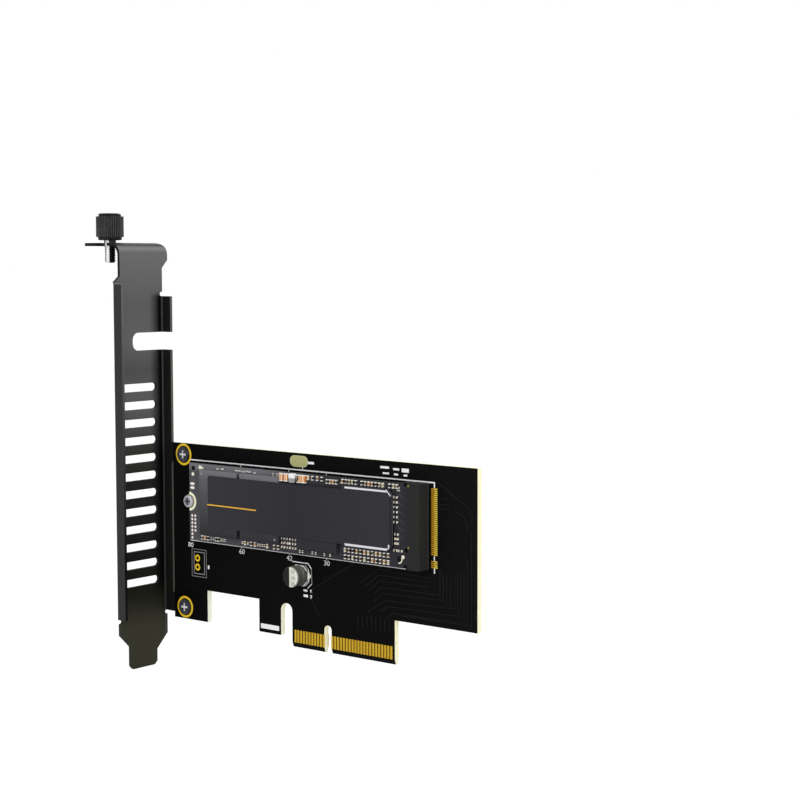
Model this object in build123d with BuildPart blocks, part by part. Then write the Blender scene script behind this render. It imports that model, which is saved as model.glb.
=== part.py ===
"""Storage adapter card: a plug-in board with a full-height slot bracket and one solid-state module.

Millimetres. X runs from the bracket to the free end of the board, Y from the component side to the
back, and Z up. The origin is the centre line of the key notch, at the bottom edge of the contact
tongue and half way through the board.
"""

import os
from math import cos, pi, sin

from build123d import *

os.makedirs("parts", exist_ok=True)


# Board
board_thickness = 1.6
board_left = -57.65
board_right = 48.8
board_top = 52.2
leg_bottom = 2.6
leg_width = 13.15
cutout_width = 19.7
tongue_height = 11.5
end_slot_width = 4.1
short_segment_length = 11.4
long_segment_length = 21.4
key_width = 2.5
key_depth = 7.3
bevel_height = 1.3
bevel_depth = 0.45

board_front = -board_thickness / 2
board_back = board_thickness / 2
tongue_left = -key_width / 2 - short_segment_length
tongue_right = key_width / 2 + long_segment_length
small_leg_left = board_left + leg_width + cutout_width
end_slot_left = tongue_left - end_slot_width

# Gold contacts of the tongue
finger_pitch = 1.0
finger_width = 0.7
finger_length = 3.4
finger_thickness = 0.04
finger_key_offset = 1.5
short_finger_count = 11
long_finger_count = 21

# Sheet-metal bracket
sheet = 0.86
bracket_gap = 7.45
bracket_width = 18.42
bracket_height = 120.02
bracket_front_reach = 14.2
bracket_rise = 55.8
flange_depth = 4.25
front_flange_depth = 3.4
bend_outer = 0.45
bend_inner = 0.2
left_flange_top_drop = 11.2
left_flange_bottom_drop = 105.2
right_flange_top_drop = 15.0
right_flange_bottom_drop = 104.8
relief_height = 1.25
relief_reach = 0.9

bracket_top = board_top + bracket_rise
plate_inner = board_left - bracket_gap
plate_outer = plate_inner - sheet
bracket_front = board_front - bracket_front_reach
bracket_back = bracket_front + bracket_width
bracket_middle = (bracket_front + bracket_back) / 2
bracket_bottom = bracket_top - bracket_height
left_flange_top = bracket_top - left_flange_top_drop
left_flange_bottom = bracket_top - left_flange_bottom_drop
right_flange_top = bracket_top - right_flange_top_drop
right_flange_bottom = bracket_top - right_flange_bottom_drop

# Upper end of the bracket, with its shoulders and the tab bent outwards
tab_length = 13.4
tab_bend = 3.4
upper_front_inset = 1.9
upper_back_inset = 0.6
shoulder_top_drop = 9.3
shoulder_bottom_drop = 10.9
bulge_reach = 2.1
bulge_bottom_drop = 4.8
bulge_chamfer_drop = 7.0
bulge_corner = 1.7
tab_slot_width = 4.42

upper_front = bracket_front + upper_front_inset
upper_back = bracket_back - upper_back_inset
bulge_back = upper_back + bulge_reach
tab_end = plate_outer - tab_length
bend_x = plate_inner - tab_bend
bend_height = bracket_top - tab_bend

# Lower end of the bracket, narrowed to its foot
lower_front_inset = 0.46
lower_front_drop = 109.8
lower_back_drop = 111.5
foot_width = 10.19
foot_chamfer = 1.0

lower_front = bracket_front + lower_front_inset
foot_front = bracket_middle - foot_width / 2
foot_back = bracket_middle + foot_width / 2

# Openings of the bracket
vent_count = 12
vent_pitch = 5.0
vent_length = 13.1
vent_height = 2.3
vent_back_inset = 3.2
first_vent_drop = 40.5
side_notch_top_drop = 25.1
side_notch_height = 5.0
side_notch_reach = 12.0
side_notch_corner = 2.0

vent_middle = bracket_back - vent_back_inset - vent_length / 2
vents_height = bracket_top - first_vent_drop - (vent_count - 1) * vent_pitch / 2
side_notch_top = bracket_top - side_notch_top_drop

# Screws that hold the bracket to the board, and the ears behind the board
screw_inset = 4.25
upper_screw_drop = 3.2
lower_screw_rise = 3.3
screw_head_diameter = 4.9
screw_head_height = 0.4
screw_diameter = 2.9
screw_tip = 0.8
screw_clearance = 0.05
board_hole_diameter = 3.2
ring_pad_diameter = 6.1
pad_thickness = 0.04
ear_height = 5.4
ear_margin = 3.5
ear_joggle = 1.6
recess_depth = 0.9
recess_width = 0.55
recess_length = 2.4

screw_x = board_left + screw_inset
upper_screw = board_top - upper_screw_drop
lower_screw = leg_bottom + lower_screw_rise
ear_end = screw_x + ear_margin
flange_end = plate_outer + flange_depth

# Thumbscrew in the slot of the tab
thumb_standoff = 6.6
thumb_inset = 3.3
thumb_gap = 0.75
thread_diameter = 3.0
thread_reach = 4.7
neck_diameter = 3.4
neck_drop = 0.2
collar_diameter = 6.6
collar_height = 0.9
knob_diameter = 7.7
knob_height = 5.7
cap_diameter = 6.3
cap_height = 0.85
knurl_count = 40
knurl_depth = 0.25
slot_play = 0.06

thumb_x = plate_outer - thumb_standoff
thumb_y = upper_front + thumb_inset
tab_slot_y = thumb_y + neck_diameter / 2 + slot_play - tab_slot_width / 2
collar_bottom = bracket_top + thumb_gap
knob_bottom = collar_bottom + collar_height
cap_bottom = knob_bottom + knob_height
neck_bottom = bracket_top - sheet - neck_drop
thread_bottom = bracket_top - sheet - thread_reach

# Storage module and its socket
module_length = 80.0
module_width = 21.5
module_thickness = 0.8
module_edge = 31.95
module_drop = 15.6
module_gap = 2.3
module_tongue_width = 19.85
module_tongue_length = 3.85
module_key_width = 1.2
module_key_depth = 3.5
module_key_offset = 6.125
mount_radius = 1.4
mount_pad_radius = 2.6
socket_height = 4.2
socket_lip_depth = 3.8
socket_base_depth = 6.6
socket_wall = 1.5
socket_play = 0.1
key_rib_width = 1.0

module_height = board_top - module_drop
module_top = module_height + module_width / 2
module_bottom = module_height - module_width / 2
module_left = module_edge - module_length
socket_width = module_width + 2 * socket_play
module_back = board_front - module_gap
module_front = module_back - module_thickness
socket_right = module_edge + 2 * socket_play + socket_wall
socket_front = board_front - socket_height

# Solder tails of the socket
tail_pitch = 0.5
tail_width = 0.26
tail_length = 2.75
tail_thickness = 0.14
long_tail_count = 34
short_tail_count = 4
tail_top_inset = 1.3
tail_gap = 1.75

tails_top = module_height + socket_width / 2 - tail_top_inset

# Gold contacts along the inserted edge of the module
edge_pad_length = 1.9
edge_pad_width = 0.35
edge_pad_inset = 0.15
edge_pad_offset = 9.25
edge_pad_upper_count = 29
edge_pad_lower_count = 5

# Standoff and the small screw that hold the module down, and the spare holes for shorter modules
standoff_diameter = 4.4
standoff_spigot = 3.2
standoff_play = 0.05
small_head_diameter = 3.3
small_head_height = 0.9
small_thread_diameter = 1.9
small_thread_length = 3.4
spare_positions = (60.0, 42.0, 30.0)

spigot_hole = standoff_spigot + 2 * standoff_play
standoff_bore = small_thread_diameter + 2 * standoff_play
small_seat = module_front - pad_thickness

# Chips and label of the module: insets are from its two ends, margins from its long edges
chip_height = 1.2
memory_inset = 5.1
memory_gap = 1.1
memory_top_margin = 1.5
memory_bottom_margin = 2.15
buffer_inset = 39.2
buffer_width = 13.85
buffer_space = 6.4
buffer_top_margin = 4.8
buffer_bottom_margin = 1.75
buffer_thickness = 1.0
processor_inset = 23.25
processor_width = 16.15
processor_top_margin = 1.8
processor_bottom_margin = 4.15
processor_corner = 1.4
label_start = 8.4
label_stop = 7.5
label_top_margin = 2.9
label_bottom_margin = 4.45
label_thickness = 0.1
label_corner = 0.8

chip_front = module_front - chip_height
buffer_left = module_edge - buffer_inset
processor_left = module_edge - processor_inset
memory_left = module_left + memory_inset
memory_width = (buffer_left - buffer_space - memory_gap - memory_left) / 2
second_memory_left = memory_left + memory_width + memory_gap

# Small parts of the module
coil_width = 2.1
coil_length = 2.4
coil_height = 0.9
coil_corner = 0.25
large_width = 1.3
large_length = 2.1
large_height = 0.8
small_width = 0.55
small_length = 1.15
small_height = 0.45
part_end = 0.25
top_row = 1.4
middle_row = 2.85
bottom_row = 1.15
lowest_row = 1.05
cluster_row = 1.45
buffer_row_end = 10.1
buffer_row_lead = 8.7
processor_row_end = 15.05
column_rise = 11.55

# Each row of small parts is its first X, its Z and its pitch; its count stands in a list of its own.
large_z = module_top - top_row
coil_x = buffer_left - 1.75
large_rows = (
    (buffer_left - 5.7, large_z, 1.8),
    (buffer_left + 0.65, large_z, 1.5),
)
large_row_counts = (2, 2)
upper_z = module_top - 0.95
lower_z = module_bottom + bottom_row
upright_rows = (
    (buffer_left + 3.5, upper_z, 1.6),
    (buffer_left + buffer_row_end, large_z, 1.05),
    (processor_left - 0.45, upper_z, 1.1),
    (processor_left + 5.95, upper_z, 1.15),
    (processor_left + processor_row_end, upper_z, 1.2),
    (processor_left + 0.25, module_bottom + middle_row, 1.3),
    (processor_left + 0.25, module_bottom + lowest_row, 1.3),
    (memory_left, lower_z, 0.08 * memory_width),
    (memory_left + 0.38 * memory_width, lower_z, 0.064 * memory_width),
    (second_memory_left + 0.08 * memory_width, lower_z, 1.0),
    (second_memory_left + 0.24 * memory_width, lower_z, 0.1 * memory_width),
    (second_memory_left + 0.66 * memory_width, lower_z, 1.0),
    (buffer_left - buffer_row_lead, lower_z, 1.4),
)
upright_row_counts = (4, 4, 5, 7, 3, 12, 12, 3, 2, 1, 2, 1, 2)
flat_columns = (
    (buffer_left - 5.4, module_bottom + cluster_row, 1.15),
    (buffer_left - 3.4, module_bottom + cluster_row, 1.15),
    (buffer_left - 1.4, module_bottom + cluster_row, 1.15),
    (module_edge - 6.2, module_bottom + column_rise, 1.25),
    (module_edge - 5.9, module_bottom + 6.15, 1.15),
    (module_edge - 6.2, module_bottom + 4.35, 1.0),
    (module_edge - 4.6, module_bottom + 4.35, 1.0),
)
flat_column_counts = (3, 3, 3, 6, 3, 1, 1)

# Electrolytic capacitor
can_x = -9.4
can_drop = 6.15
can_diameter = 5.5
can_height = 4.4
can_shoulder = 0.2
can_shoulder_drop = 0.25
can_groove = 0.22
can_groove_rise = 1.0
can_groove_height = 0.6
can_base_size = 5.6
can_base_height = 0.9
can_base_corner = 1.1
can_lead_width = 0.9
can_lead_reach = 0.7
can_lead_thickness = 0.15

# Unfitted two-pin header and the oval pad at the top edge
header_inset = 9.35
header_drop = 6.87
header_pitch = 2.54
header_hole = 1.0
header_pad_diameter = 2.0
header_pad_side_count = 12
oval_x = -9.9
oval_drop = 2.2
oval_length = 6.4
oval_width = 3.05

can_z = module_bottom - can_drop
header_x = board_left + header_inset
header_height = module_bottom - header_drop


def facing(y):
    """Plane at one depth that looks at the component side: its x is X, its y is Z."""
    return Plane.XZ.offset(-y)


with BuildPart() as board:
    with BuildSketch(facing(board_back)):
        with BuildLine():
            Polyline(
                (board_left, leg_bottom),
                (board_left + leg_width, leg_bottom),
                (board_left + leg_width, tongue_height),
                (small_leg_left, tongue_height),
                (small_leg_left, leg_bottom),
                (tongue_left, leg_bottom),
                (tongue_left, 0),
                (tongue_right, 0),
                (tongue_right, tongue_height),
                (board_right, tongue_height),
                (board_right, board_top),
                (board_left, board_top),
                close=True,
            )
        make_face()
        for left, right, top in (
            (end_slot_left, tongue_left, tongue_height),
            (-key_width / 2, key_width / 2, key_depth),
        ):
            radius = (right - left) / 2
            with Locations(((left + right) / 2, (top - radius) / 2 - 1)):
                Rectangle(right - left, top - radius + 2, mode=Mode.SUBTRACT)
            with Locations(((left + right) / 2, top - radius)):
                Circle(radius, mode=Mode.SUBTRACT)
    extrude(amount=board_thickness)
    # Both faces of the tongue are bevelled along its lower edge.
    with BuildSketch(Plane.YZ.offset(tongue_left)):
        with BuildLine():
            Polyline(
                (board_front, 0),
                (board_front + bevel_depth, 0),
                (board_front, bevel_height),
                close=True,
            )
        make_face()
        mirror(about=Plane.YZ)
    extrude(amount=tongue_right - tongue_left, mode=Mode.SUBTRACT)
    # Screw holes, the standoff hole with its spares, and the two header holes.
    with BuildSketch(facing(board_back)):
        with Locations((screw_x, upper_screw), (screw_x, lower_screw)):
            Circle(board_hole_diameter / 2)
        with Locations((module_left, module_height)):
            Circle(spigot_hole / 2)
        for length in spare_positions:
            with Locations((module_edge - length, module_height)):
                Circle(spigot_hole / 2)
        with Locations((header_x, header_height)):
            with GridLocations(1, header_pitch, 1, 2):
                Circle(header_hole / 2)
    extrude(amount=board_thickness, mode=Mode.SUBTRACT)
board.part.label = "board"
export_step(board.part, "parts/board.step")


def finger_centres():
    """Centres of the contacts along the tongue, on both sides of the key notch."""
    short = [-finger_key_offset - i * finger_pitch for i in range(short_finger_count)]
    long = [finger_key_offset + i * finger_pitch for i in range(long_finger_count)]
    return short + long


finger_middle = bevel_height + finger_length / 2

with BuildPart() as front_fingers:
    with BuildSketch(facing(board_front)):
        with Locations(*[(x, finger_middle) for x in finger_centres()]):
            Rectangle(finger_width, finger_length)
    extrude(amount=finger_thickness)
front_fingers.part.label = "edge_contacts_front"
export_step(front_fingers.part, "parts/edge_contacts_front.step")

with BuildPart() as back_fingers:
    with BuildSketch(facing(board_back)):
        with Locations(*[(x, finger_middle) for x in finger_centres()]):
            Rectangle(finger_width, finger_length)
    extrude(amount=-finger_thickness)
back_fingers.part.label = "edge_contacts_back"
export_step(back_fingers.part, "parts/edge_contacts_back.step")


with BuildPart() as bracket:
    # The long body is a shallow channel: both edges are folded towards the board.
    with BuildSketch(Plane.XY.offset(left_flange_bottom)) as channel:
        with Locations((plate_outer + flange_depth / 2, bracket_middle)):
            Rectangle(flange_depth, bracket_width)
        fillet(channel.vertices().group_by(Axis.X)[0], bend_outer)
        with Locations((plate_inner + flange_depth, bracket_middle)):
            RectangleRounded(2 * flange_depth, bracket_width - 2 * sheet, bend_inner, mode=Mode.SUBTRACT)
        # The front flange is the shorter one.
        with Locations((plate_outer + front_flange_depth, bracket_front)):
            spare_depth = flange_depth - front_flange_depth
            Rectangle(spare_depth, sheet, align=Align.MIN, mode=Mode.SUBTRACT)
    extrude(amount=left_flange_top - left_flange_bottom)
    # The back flange stops short of the front one at both ends.
    with BuildSketch(Plane.YZ.offset(plate_outer)):
        with Locations((bracket_back, (right_flange_top + left_flange_top) / 2)):
            Rectangle(2 * (bend_outer + sheet), left_flange_top - right_flange_top)
        with Locations((bracket_back, (left_flange_bottom + right_flange_bottom) / 2)):
            Rectangle(2 * (bend_outer + sheet), right_flange_bottom - left_flange_bottom)
    extrude(amount=flange_depth, mode=Mode.SUBTRACT)
    # Flat plate: shoulders and bulge at the top, a narrow foot at the bottom.
    with BuildSketch(Plane.YZ.offset(plate_outer)):
        with BuildLine():
            Polyline(
                (foot_front, bracket_bottom),
                (foot_back, bracket_bottom),
                (foot_back, bracket_top - lower_back_drop - (bracket_back - foot_back)),
                (bracket_back, bracket_top - lower_back_drop),
                (bracket_back, right_flange_bottom),
                (bracket_back - bend_outer, right_flange_bottom),
                (bracket_back - bend_outer, right_flange_top),
                (upper_back, right_flange_top),
                (upper_back, bracket_top - bulge_chamfer_drop),
                (bulge_back, bracket_top - bulge_bottom_drop),
                (bulge_back, bend_height),
                (upper_front, bend_height),
                (upper_front, bracket_top - shoulder_top_drop),
                (bracket_front, bracket_top - shoulder_bottom_drop),
                (bracket_front, left_flange_top),
                (bracket_front + bend_outer, left_flange_top),
                (bracket_front + bend_outer, left_flange_bottom),
                (lower_front, left_flange_bottom),
                (lower_front, bracket_top - lower_front_drop),
                (foot_front, bracket_top - lower_front_drop - (foot_front - lower_front)),
                close=True,
            )
        make_face()
    extrude(amount=sheet)
    # The tab is bent outwards over the top, away from the board.
    with BuildSketch(facing(bulge_back)):
        with BuildLine():
            Line((plate_inner, bend_height), (plate_outer, bend_height))
            CenterArc((bend_x, bend_height), tab_bend - sheet, 0, 90)
            Polyline(
                (bend_x, bracket_top - sheet),
                (tab_end, bracket_top - sheet),
                (tab_end, bracket_top),
                (bend_x, bracket_top),
            )
            CenterArc((bend_x, bend_height), tab_bend, 0, 90)
        make_face()
    extrude(amount=bulge_back - upper_front)
    # The bulge ends in a round corner, and the tab itself is only as wide as the plate below it.
    with BuildSketch(Plane.YZ.offset(tab_end)):
        with Locations((bulge_back - bulge_corner / 2, bracket_top - bulge_corner / 2)):
            Rectangle(bulge_corner, bulge_corner)
        with Locations((bulge_back - bulge_corner, bracket_top - bulge_corner)):
            Circle(bulge_corner, mode=Mode.SUBTRACT)
    extrude(amount=plate_inner - tab_end, mode=Mode.SUBTRACT)
    with BuildSketch(Plane.XY.offset(bracket_top - sheet)):
        with Locations(((tab_end + bend_x) / 2, bulge_back)):
            Rectangle(bend_x - tab_end, 2 * bulge_corner)
        # The retaining slot opens at the front edge of the tab.
        with Locations((thumb_x, tab_slot_y)):
            Circle(tab_slot_width / 2)
        with Locations((thumb_x, upper_front)):
            Rectangle(tab_slot_width, 2 * (tab_slot_y - upper_front))
    extrude(amount=sheet, mode=Mode.SUBTRACT)
    # Vent slots, the side notch and the bend reliefs are punched through the sheet.
    with BuildSketch(Plane.YZ.offset(plate_outer)):
        with Locations((vent_middle, vents_height)):
            with GridLocations(1, vent_pitch, 1, vent_count):
                with Locations((-vent_height / 4, 0)):
                    Rectangle(vent_length - vent_height / 2, vent_height)
                with Locations(((vent_length - vent_height) / 2, 0)):
                    Circle(vent_height / 2)
    extrude(amount=sheet, mode=Mode.SUBTRACT)
    with BuildSketch(Plane.YZ.offset(plate_outer)):
        with Locations((bracket_back, side_notch_top - side_notch_height / 2)):
            RectangleRounded(2 * side_notch_reach, side_notch_height, side_notch_corner)
        with Locations((upper_back, right_flange_top + relief_height / 2)):
            SlotOverall(2 * relief_reach, relief_height)
        with Locations((bracket_back, right_flange_bottom - relief_height / 2)):
            SlotOverall(2 * relief_reach, relief_height)
        with Locations((lower_front, left_flange_bottom - relief_height / 2)):
            SlotOverall(2 * relief_reach, relief_height)
    extrude(amount=flange_depth, mode=Mode.SUBTRACT)
    # Two ears leave the back flange, step forward and lie flat against the back of the board.
    for height in (upper_screw, lower_screw):
        with BuildSketch(Plane.XY.offset(height - ear_height / 2)):
            with BuildLine():
                Polyline(
                    (flange_end, bracket_back - sheet),
                    (flange_end + sheet, bracket_back - sheet),
                    (flange_end + sheet + ear_joggle, board_back),
                    (ear_end, board_back),
                    (ear_end, board_back + sheet),
                    (flange_end + 1.4 * sheet + ear_joggle, board_back + sheet),
                    (flange_end + 1.4 * sheet, bracket_back),
                    (flange_end, bracket_back),
                    close=True,
                )
            make_face()
        extrude(amount=ear_height)
    with BuildSketch(facing(board_back + sheet)):
        with Locations((screw_x, upper_screw), (screw_x, lower_screw)):
            Circle(screw_diameter / 2 + screw_clearance)
    extrude(amount=sheet, mode=Mode.SUBTRACT)
    # The foot has broken corners.
    foot_corners = bracket.edges().filter_by(Axis.X).group_by(Axis.Z)[0]
    chamfer(foot_corners, foot_chamfer)
bracket.part.label = "bracket"
export_step(bracket.part, "parts/bracket.step")


with BuildPart() as ring_pads:
    with BuildSketch(facing(board_front)):
        with Locations((screw_x, upper_screw), (screw_x, lower_screw)):
            Circle(ring_pad_diameter / 2)
            Circle(board_hole_diameter / 2, mode=Mode.SUBTRACT)
    extrude(amount=pad_thickness)
ring_pads.part.label = "screw_pads"
export_step(ring_pads.part, "parts/screw_pads.step")


screw_seat = board_front - pad_thickness
screw_length = screw_tip + sheet + board_thickness + pad_thickness

with BuildPart() as bracket_screws:
    # Each screw is turned about its own axis: a low head and a plain shank.
    for height in (upper_screw, lower_screw):
        origin = (screw_x, screw_seat, height)
        with BuildSketch(Plane(origin=origin, x_dir=(1, 0, 0), z_dir=(0, 0, -1))):
            with BuildLine():
                head = screw_head_diameter / 2
                shank = screw_diameter / 2
                Polyline(
                    (0, -screw_length),
                    (shank, -screw_length),
                    (shank, 0),
                    (head, 0),
                    (head * 0.9, screw_head_height),
                    (0, screw_head_height),
                    close=True,
                )
            make_face()
        revolve(axis=Axis((screw_x, 0, height), (0, 1, 0)))
    # Cross recess in each head.
    with BuildSketch(facing(screw_seat - screw_head_height)):
        with Locations((screw_x, upper_screw), (screw_x, lower_screw)):
            Rectangle(recess_length, recess_width)
            Rectangle(recess_width, recess_length)
    extrude(amount=-recess_depth, mode=Mode.SUBTRACT)
bracket_screws.part.label = "bracket_screws"
export_step(bracket_screws.part, "parts/bracket_screws.step")


def knurl_outline():
    """Points of the knob's toothed edge: one on each ridge and one at the foot between two ridges."""
    points = []
    step = 2 * pi / knurl_count
    for tooth in range(knurl_count):
        angle = tooth * step
        for turn, radius in ((0, knob_diameter / 2), (step / 2, knob_diameter / 2 - knurl_depth)):
            points.append((radius * cos(angle + turn), radius * sin(angle + turn)))
    return points


with BuildPart() as thumb_head:
    with BuildSketch(Plane(origin=(thumb_x, thumb_y, collar_bottom))):
        Circle(collar_diameter / 2)
    extrude(amount=collar_height)
    chamfer(thumb_head.edges().group_by(Axis.Z)[0], collar_height * 0.3)
    with BuildSketch(Plane(origin=(thumb_x, thumb_y, knob_bottom))):
        with BuildLine():
            Polyline(*knurl_outline(), close=True)
        make_face()
    extrude(amount=knob_height)
    with BuildSketch(Plane(origin=(thumb_x, thumb_y, cap_bottom))):
        Circle(cap_diameter / 2)
    extrude(amount=cap_height)
    chamfer(thumb_head.edges().group_by(Axis.Z)[-1], cap_height * 0.35)
    # The neck of the steel screw is pressed up into the head.
    with BuildSketch(Plane(origin=(thumb_x, thumb_y, collar_bottom))):
        Circle(neck_diameter / 2)
    extrude(amount=collar_height, mode=Mode.SUBTRACT)
thumb_head.part.label = "thumbscrew_head"
export_step(thumb_head.part, "parts/thumbscrew_head.step")

with BuildPart() as thumb_shank:
    with BuildSketch(Plane(origin=(thumb_x, thumb_y, neck_bottom))):
        Circle(neck_diameter / 2)
    extrude(amount=knob_bottom - neck_bottom)
    with BuildSketch(Plane(origin=(thumb_x, thumb_y, thread_bottom))):
        Circle(thread_diameter / 2)
    extrude(amount=neck_bottom - thread_bottom)
    chamfer(thumb_shank.edges().group_by(Axis.Z)[0], thread_diameter * 0.12)
thumb_shank.part.label = "thumbscrew_shank"
export_step(thumb_shank.part, "parts/thumbscrew_shank.step")


# The socket is an L in section: a high lip behind a lower base that carries the module's tongue.
with BuildPart() as socket:
    socket_bottom = module_height - socket_width / 2
    with BuildSketch(Plane.XY.offset(socket_bottom)):
        with BuildLine():
            Polyline(
                (socket_right, board_front),
                (socket_right, socket_front),
                (socket_right - socket_lip_depth, socket_front),
                (socket_right - socket_lip_depth, module_back),
                (socket_right - socket_base_depth, module_back),
                (socket_right - socket_base_depth, board_front),
                close=True,
            )
        make_face()
    extrude(amount=socket_width)
    lip_edges = socket.edges().filter_by(Axis.Z).group_by(Axis.Y)[0]
    chamfer(lip_edges, 0.35)
    # Slot for the module's tongue; a rib in it fills the module's key notch.
    with BuildSketch(facing(module_back)):
        with Locations((module_edge + socket_play - socket_lip_depth, module_height)):
            Rectangle(2 * socket_lip_depth, module_tongue_width + 2 * socket_play)
        with Locations((module_edge + socket_play, module_height - module_key_offset)):
            rib_length = 2 * (module_key_depth - module_key_width / 2 + socket_play)
            Rectangle(rib_length, key_rib_width, mode=Mode.SUBTRACT)
    extrude(amount=module_thickness + socket_play, mode=Mode.SUBTRACT)
socket.part.label = "module_socket"
export_step(socket.part, "parts/module_socket.step")

with BuildPart() as socket_tails:
    with BuildSketch(facing(board_front)):
        long_middle = tails_top - (long_tail_count - 1) * tail_pitch / 2
        short_top = tails_top - (long_tail_count - 1) * tail_pitch - tail_gap
        short_middle = short_top - (short_tail_count - 1) * tail_pitch / 2
        for middle, count in ((long_middle, long_tail_count), (short_middle, short_tail_count)):
            with Locations((socket_right + tail_length / 2, middle)):
                with GridLocations(1, tail_pitch, 1, count):
                    Rectangle(tail_length, tail_width)
    extrude(amount=tail_thickness)
socket_tails.part.label = "socket_tails"
export_step(socket_tails.part, "parts/socket_tails.step")


with BuildPart() as module_board:
    with BuildSketch(facing(module_back)):
        with Locations(((module_left + module_edge) / 2, module_height)):
            Rectangle(module_length, module_width)
        shoulder = (module_width - module_tongue_width) / 2
        for side in (-1, 1):
            shoulder_z = module_height + side * (module_width - shoulder) / 2
            with Locations((module_edge - module_tongue_length / 2, shoulder_z)):
                Rectangle(module_tongue_length, shoulder, mode=Mode.SUBTRACT)
        notch_z = module_height - module_key_offset
        notch_end = module_edge - module_key_depth + module_key_width / 2
        with Locations((notch_end, notch_z)):
            Circle(module_key_width / 2, mode=Mode.SUBTRACT)
        with Locations(((notch_end + module_edge) / 2, notch_z)):
            Rectangle(module_edge - notch_end, module_key_width, mode=Mode.SUBTRACT)
        with Locations((module_left, module_height)):
            Circle(mount_radius, mode=Mode.SUBTRACT)
    extrude(amount=module_thickness)
module_board.part.label = "module_board"
export_step(module_board.part, "parts/module_board.step")

with BuildPart() as module_contacts:
    with BuildSketch(facing(module_front)):
        pad_x = module_edge - edge_pad_inset - edge_pad_length / 2
        first_z = module_height + edge_pad_offset
        last_z = module_height - edge_pad_offset
        above = first_z - (edge_pad_upper_count - 1) * tail_pitch / 2
        below = last_z + (edge_pad_lower_count - 1) * tail_pitch / 2
        for middle, count in ((above, edge_pad_upper_count), (below, edge_pad_lower_count)):
            with Locations((pad_x, middle)):
                with GridLocations(1, tail_pitch, 1, count):
                    Rectangle(edge_pad_length, edge_pad_width)
    extrude(amount=pad_thickness)
module_contacts.part.label = "module_contacts"
export_step(module_contacts.part, "parts/module_contacts.step")

with BuildPart() as mount_pad:
    with BuildSketch(facing(module_front)):
        with Locations((module_left, module_height)):
            Circle(mount_pad_radius)
            Circle(mount_radius, mode=Mode.SUBTRACT)
        with Locations((module_left - mount_pad_radius, module_height)):
            Rectangle(2 * mount_pad_radius, 2 * mount_pad_radius, mode=Mode.SUBTRACT)
    extrude(amount=pad_thickness)
mount_pad.part.label = "module_mount_pad"
export_step(mount_pad.part, "parts/module_mount_pad.step")


with BuildPart() as standoff:
    with BuildSketch(facing(board_front)):
        with Locations((module_left, module_height)):
            Circle(standoff_diameter / 2)
    extrude(amount=module_gap)
    with BuildSketch(facing(board_front)):
        with Locations((module_left, module_height)):
            Circle(standoff_spigot / 2)
    extrude(amount=-board_thickness)
    with BuildSketch(facing(module_back)):
        with Locations((module_left, module_height)):
            Circle(standoff_bore / 2)
    extrude(amount=-(module_gap + board_thickness), mode=Mode.SUBTRACT)
standoff.part.label = "module_standoff"
export_step(standoff.part, "parts/module_standoff.step")

with BuildPart() as module_screw:
    with BuildSketch(facing(small_seat)):
        with Locations((module_left, module_height)):
            Circle(small_head_diameter / 2)
    extrude(amount=small_head_height)
    chamfer(module_screw.edges().group_by(Axis.Y)[0], small_head_height * 0.3)
    with BuildSketch(facing(small_seat)):
        with Locations((module_left, module_height)):
            Circle(small_thread_diameter / 2)
    extrude(amount=-small_thread_length)
    with BuildSketch(facing(small_seat - small_head_height)):
        with Locations((module_left, module_height)):
            Rectangle(recess_length * 0.8, recess_width * 0.8)
            Rectangle(recess_width * 0.8, recess_length * 0.8)
    extrude(amount=-small_head_height * 0.6, mode=Mode.SUBTRACT)
module_screw.part.label = "module_screw"
export_step(module_screw.part, "parts/module_screw.step")


with BuildPart() as memory_chips:
    with BuildSketch(facing(module_front)):
        memory_z = module_bottom + memory_bottom_margin
        memory_height = module_top - memory_top_margin - memory_z
        for left in (memory_left, second_memory_left):
            with Locations((left, memory_z)):
                Rectangle(memory_width, memory_height, align=Align.MIN)
    extrude(amount=chip_height)
memory_chips.part.label = "memory_chips"
export_step(memory_chips.part, "parts/memory_chips.step")

with BuildPart() as buffer_chip:
    with BuildSketch(facing(module_front)):
        buffer_z = module_bottom + buffer_bottom_margin
        with Locations((buffer_left, buffer_z)):
            Rectangle(buffer_width, module_top - buffer_top_margin - buffer_z, align=Align.MIN)
    extrude(amount=buffer_thickness)
buffer_chip.part.label = "buffer_chip"
export_step(buffer_chip.part, "parts/buffer_chip.step")

with BuildPart() as processor_chip:
    with BuildSketch(facing(module_front)) as processor_outline:
        processor_z = module_bottom + processor_bottom_margin
        with Locations((processor_left, processor_z)):
            Rectangle(processor_width, module_top - processor_top_margin - processor_z, align=Align.MIN)
        chamfer(processor_outline.vertices().group_by(Axis.X)[-1], processor_corner)
    extrude(amount=chip_height)
processor_chip.part.label = "processor_chip"
export_step(processor_chip.part, "parts/processor_chip.step")

with BuildPart() as module_label:
    with BuildSketch(facing(chip_front)):
        label_length = module_length - label_start - label_stop
        label_height = module_width - label_top_margin - label_bottom_margin
        with Locations((module_left + label_start, module_bottom + label_bottom_margin)):
            RectangleRounded(label_length, label_height, label_corner, align=Align.MIN)
    extrude(amount=label_thickness)
module_label.part.label = "module_label"
export_step(module_label.part, "parts/module_label.step")

with BuildPart() as module_coil:
    with BuildSketch(facing(module_front)):
        with Locations((coil_x, large_z)):
            Rectangle(coil_width, coil_length)
    extrude(amount=coil_height)
    chamfer(module_coil.edges().filter_by(Axis.Y), coil_corner)
module_coil.part.label = "module_coil"
export_step(module_coil.part, "parts/module_coil.step")


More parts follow.
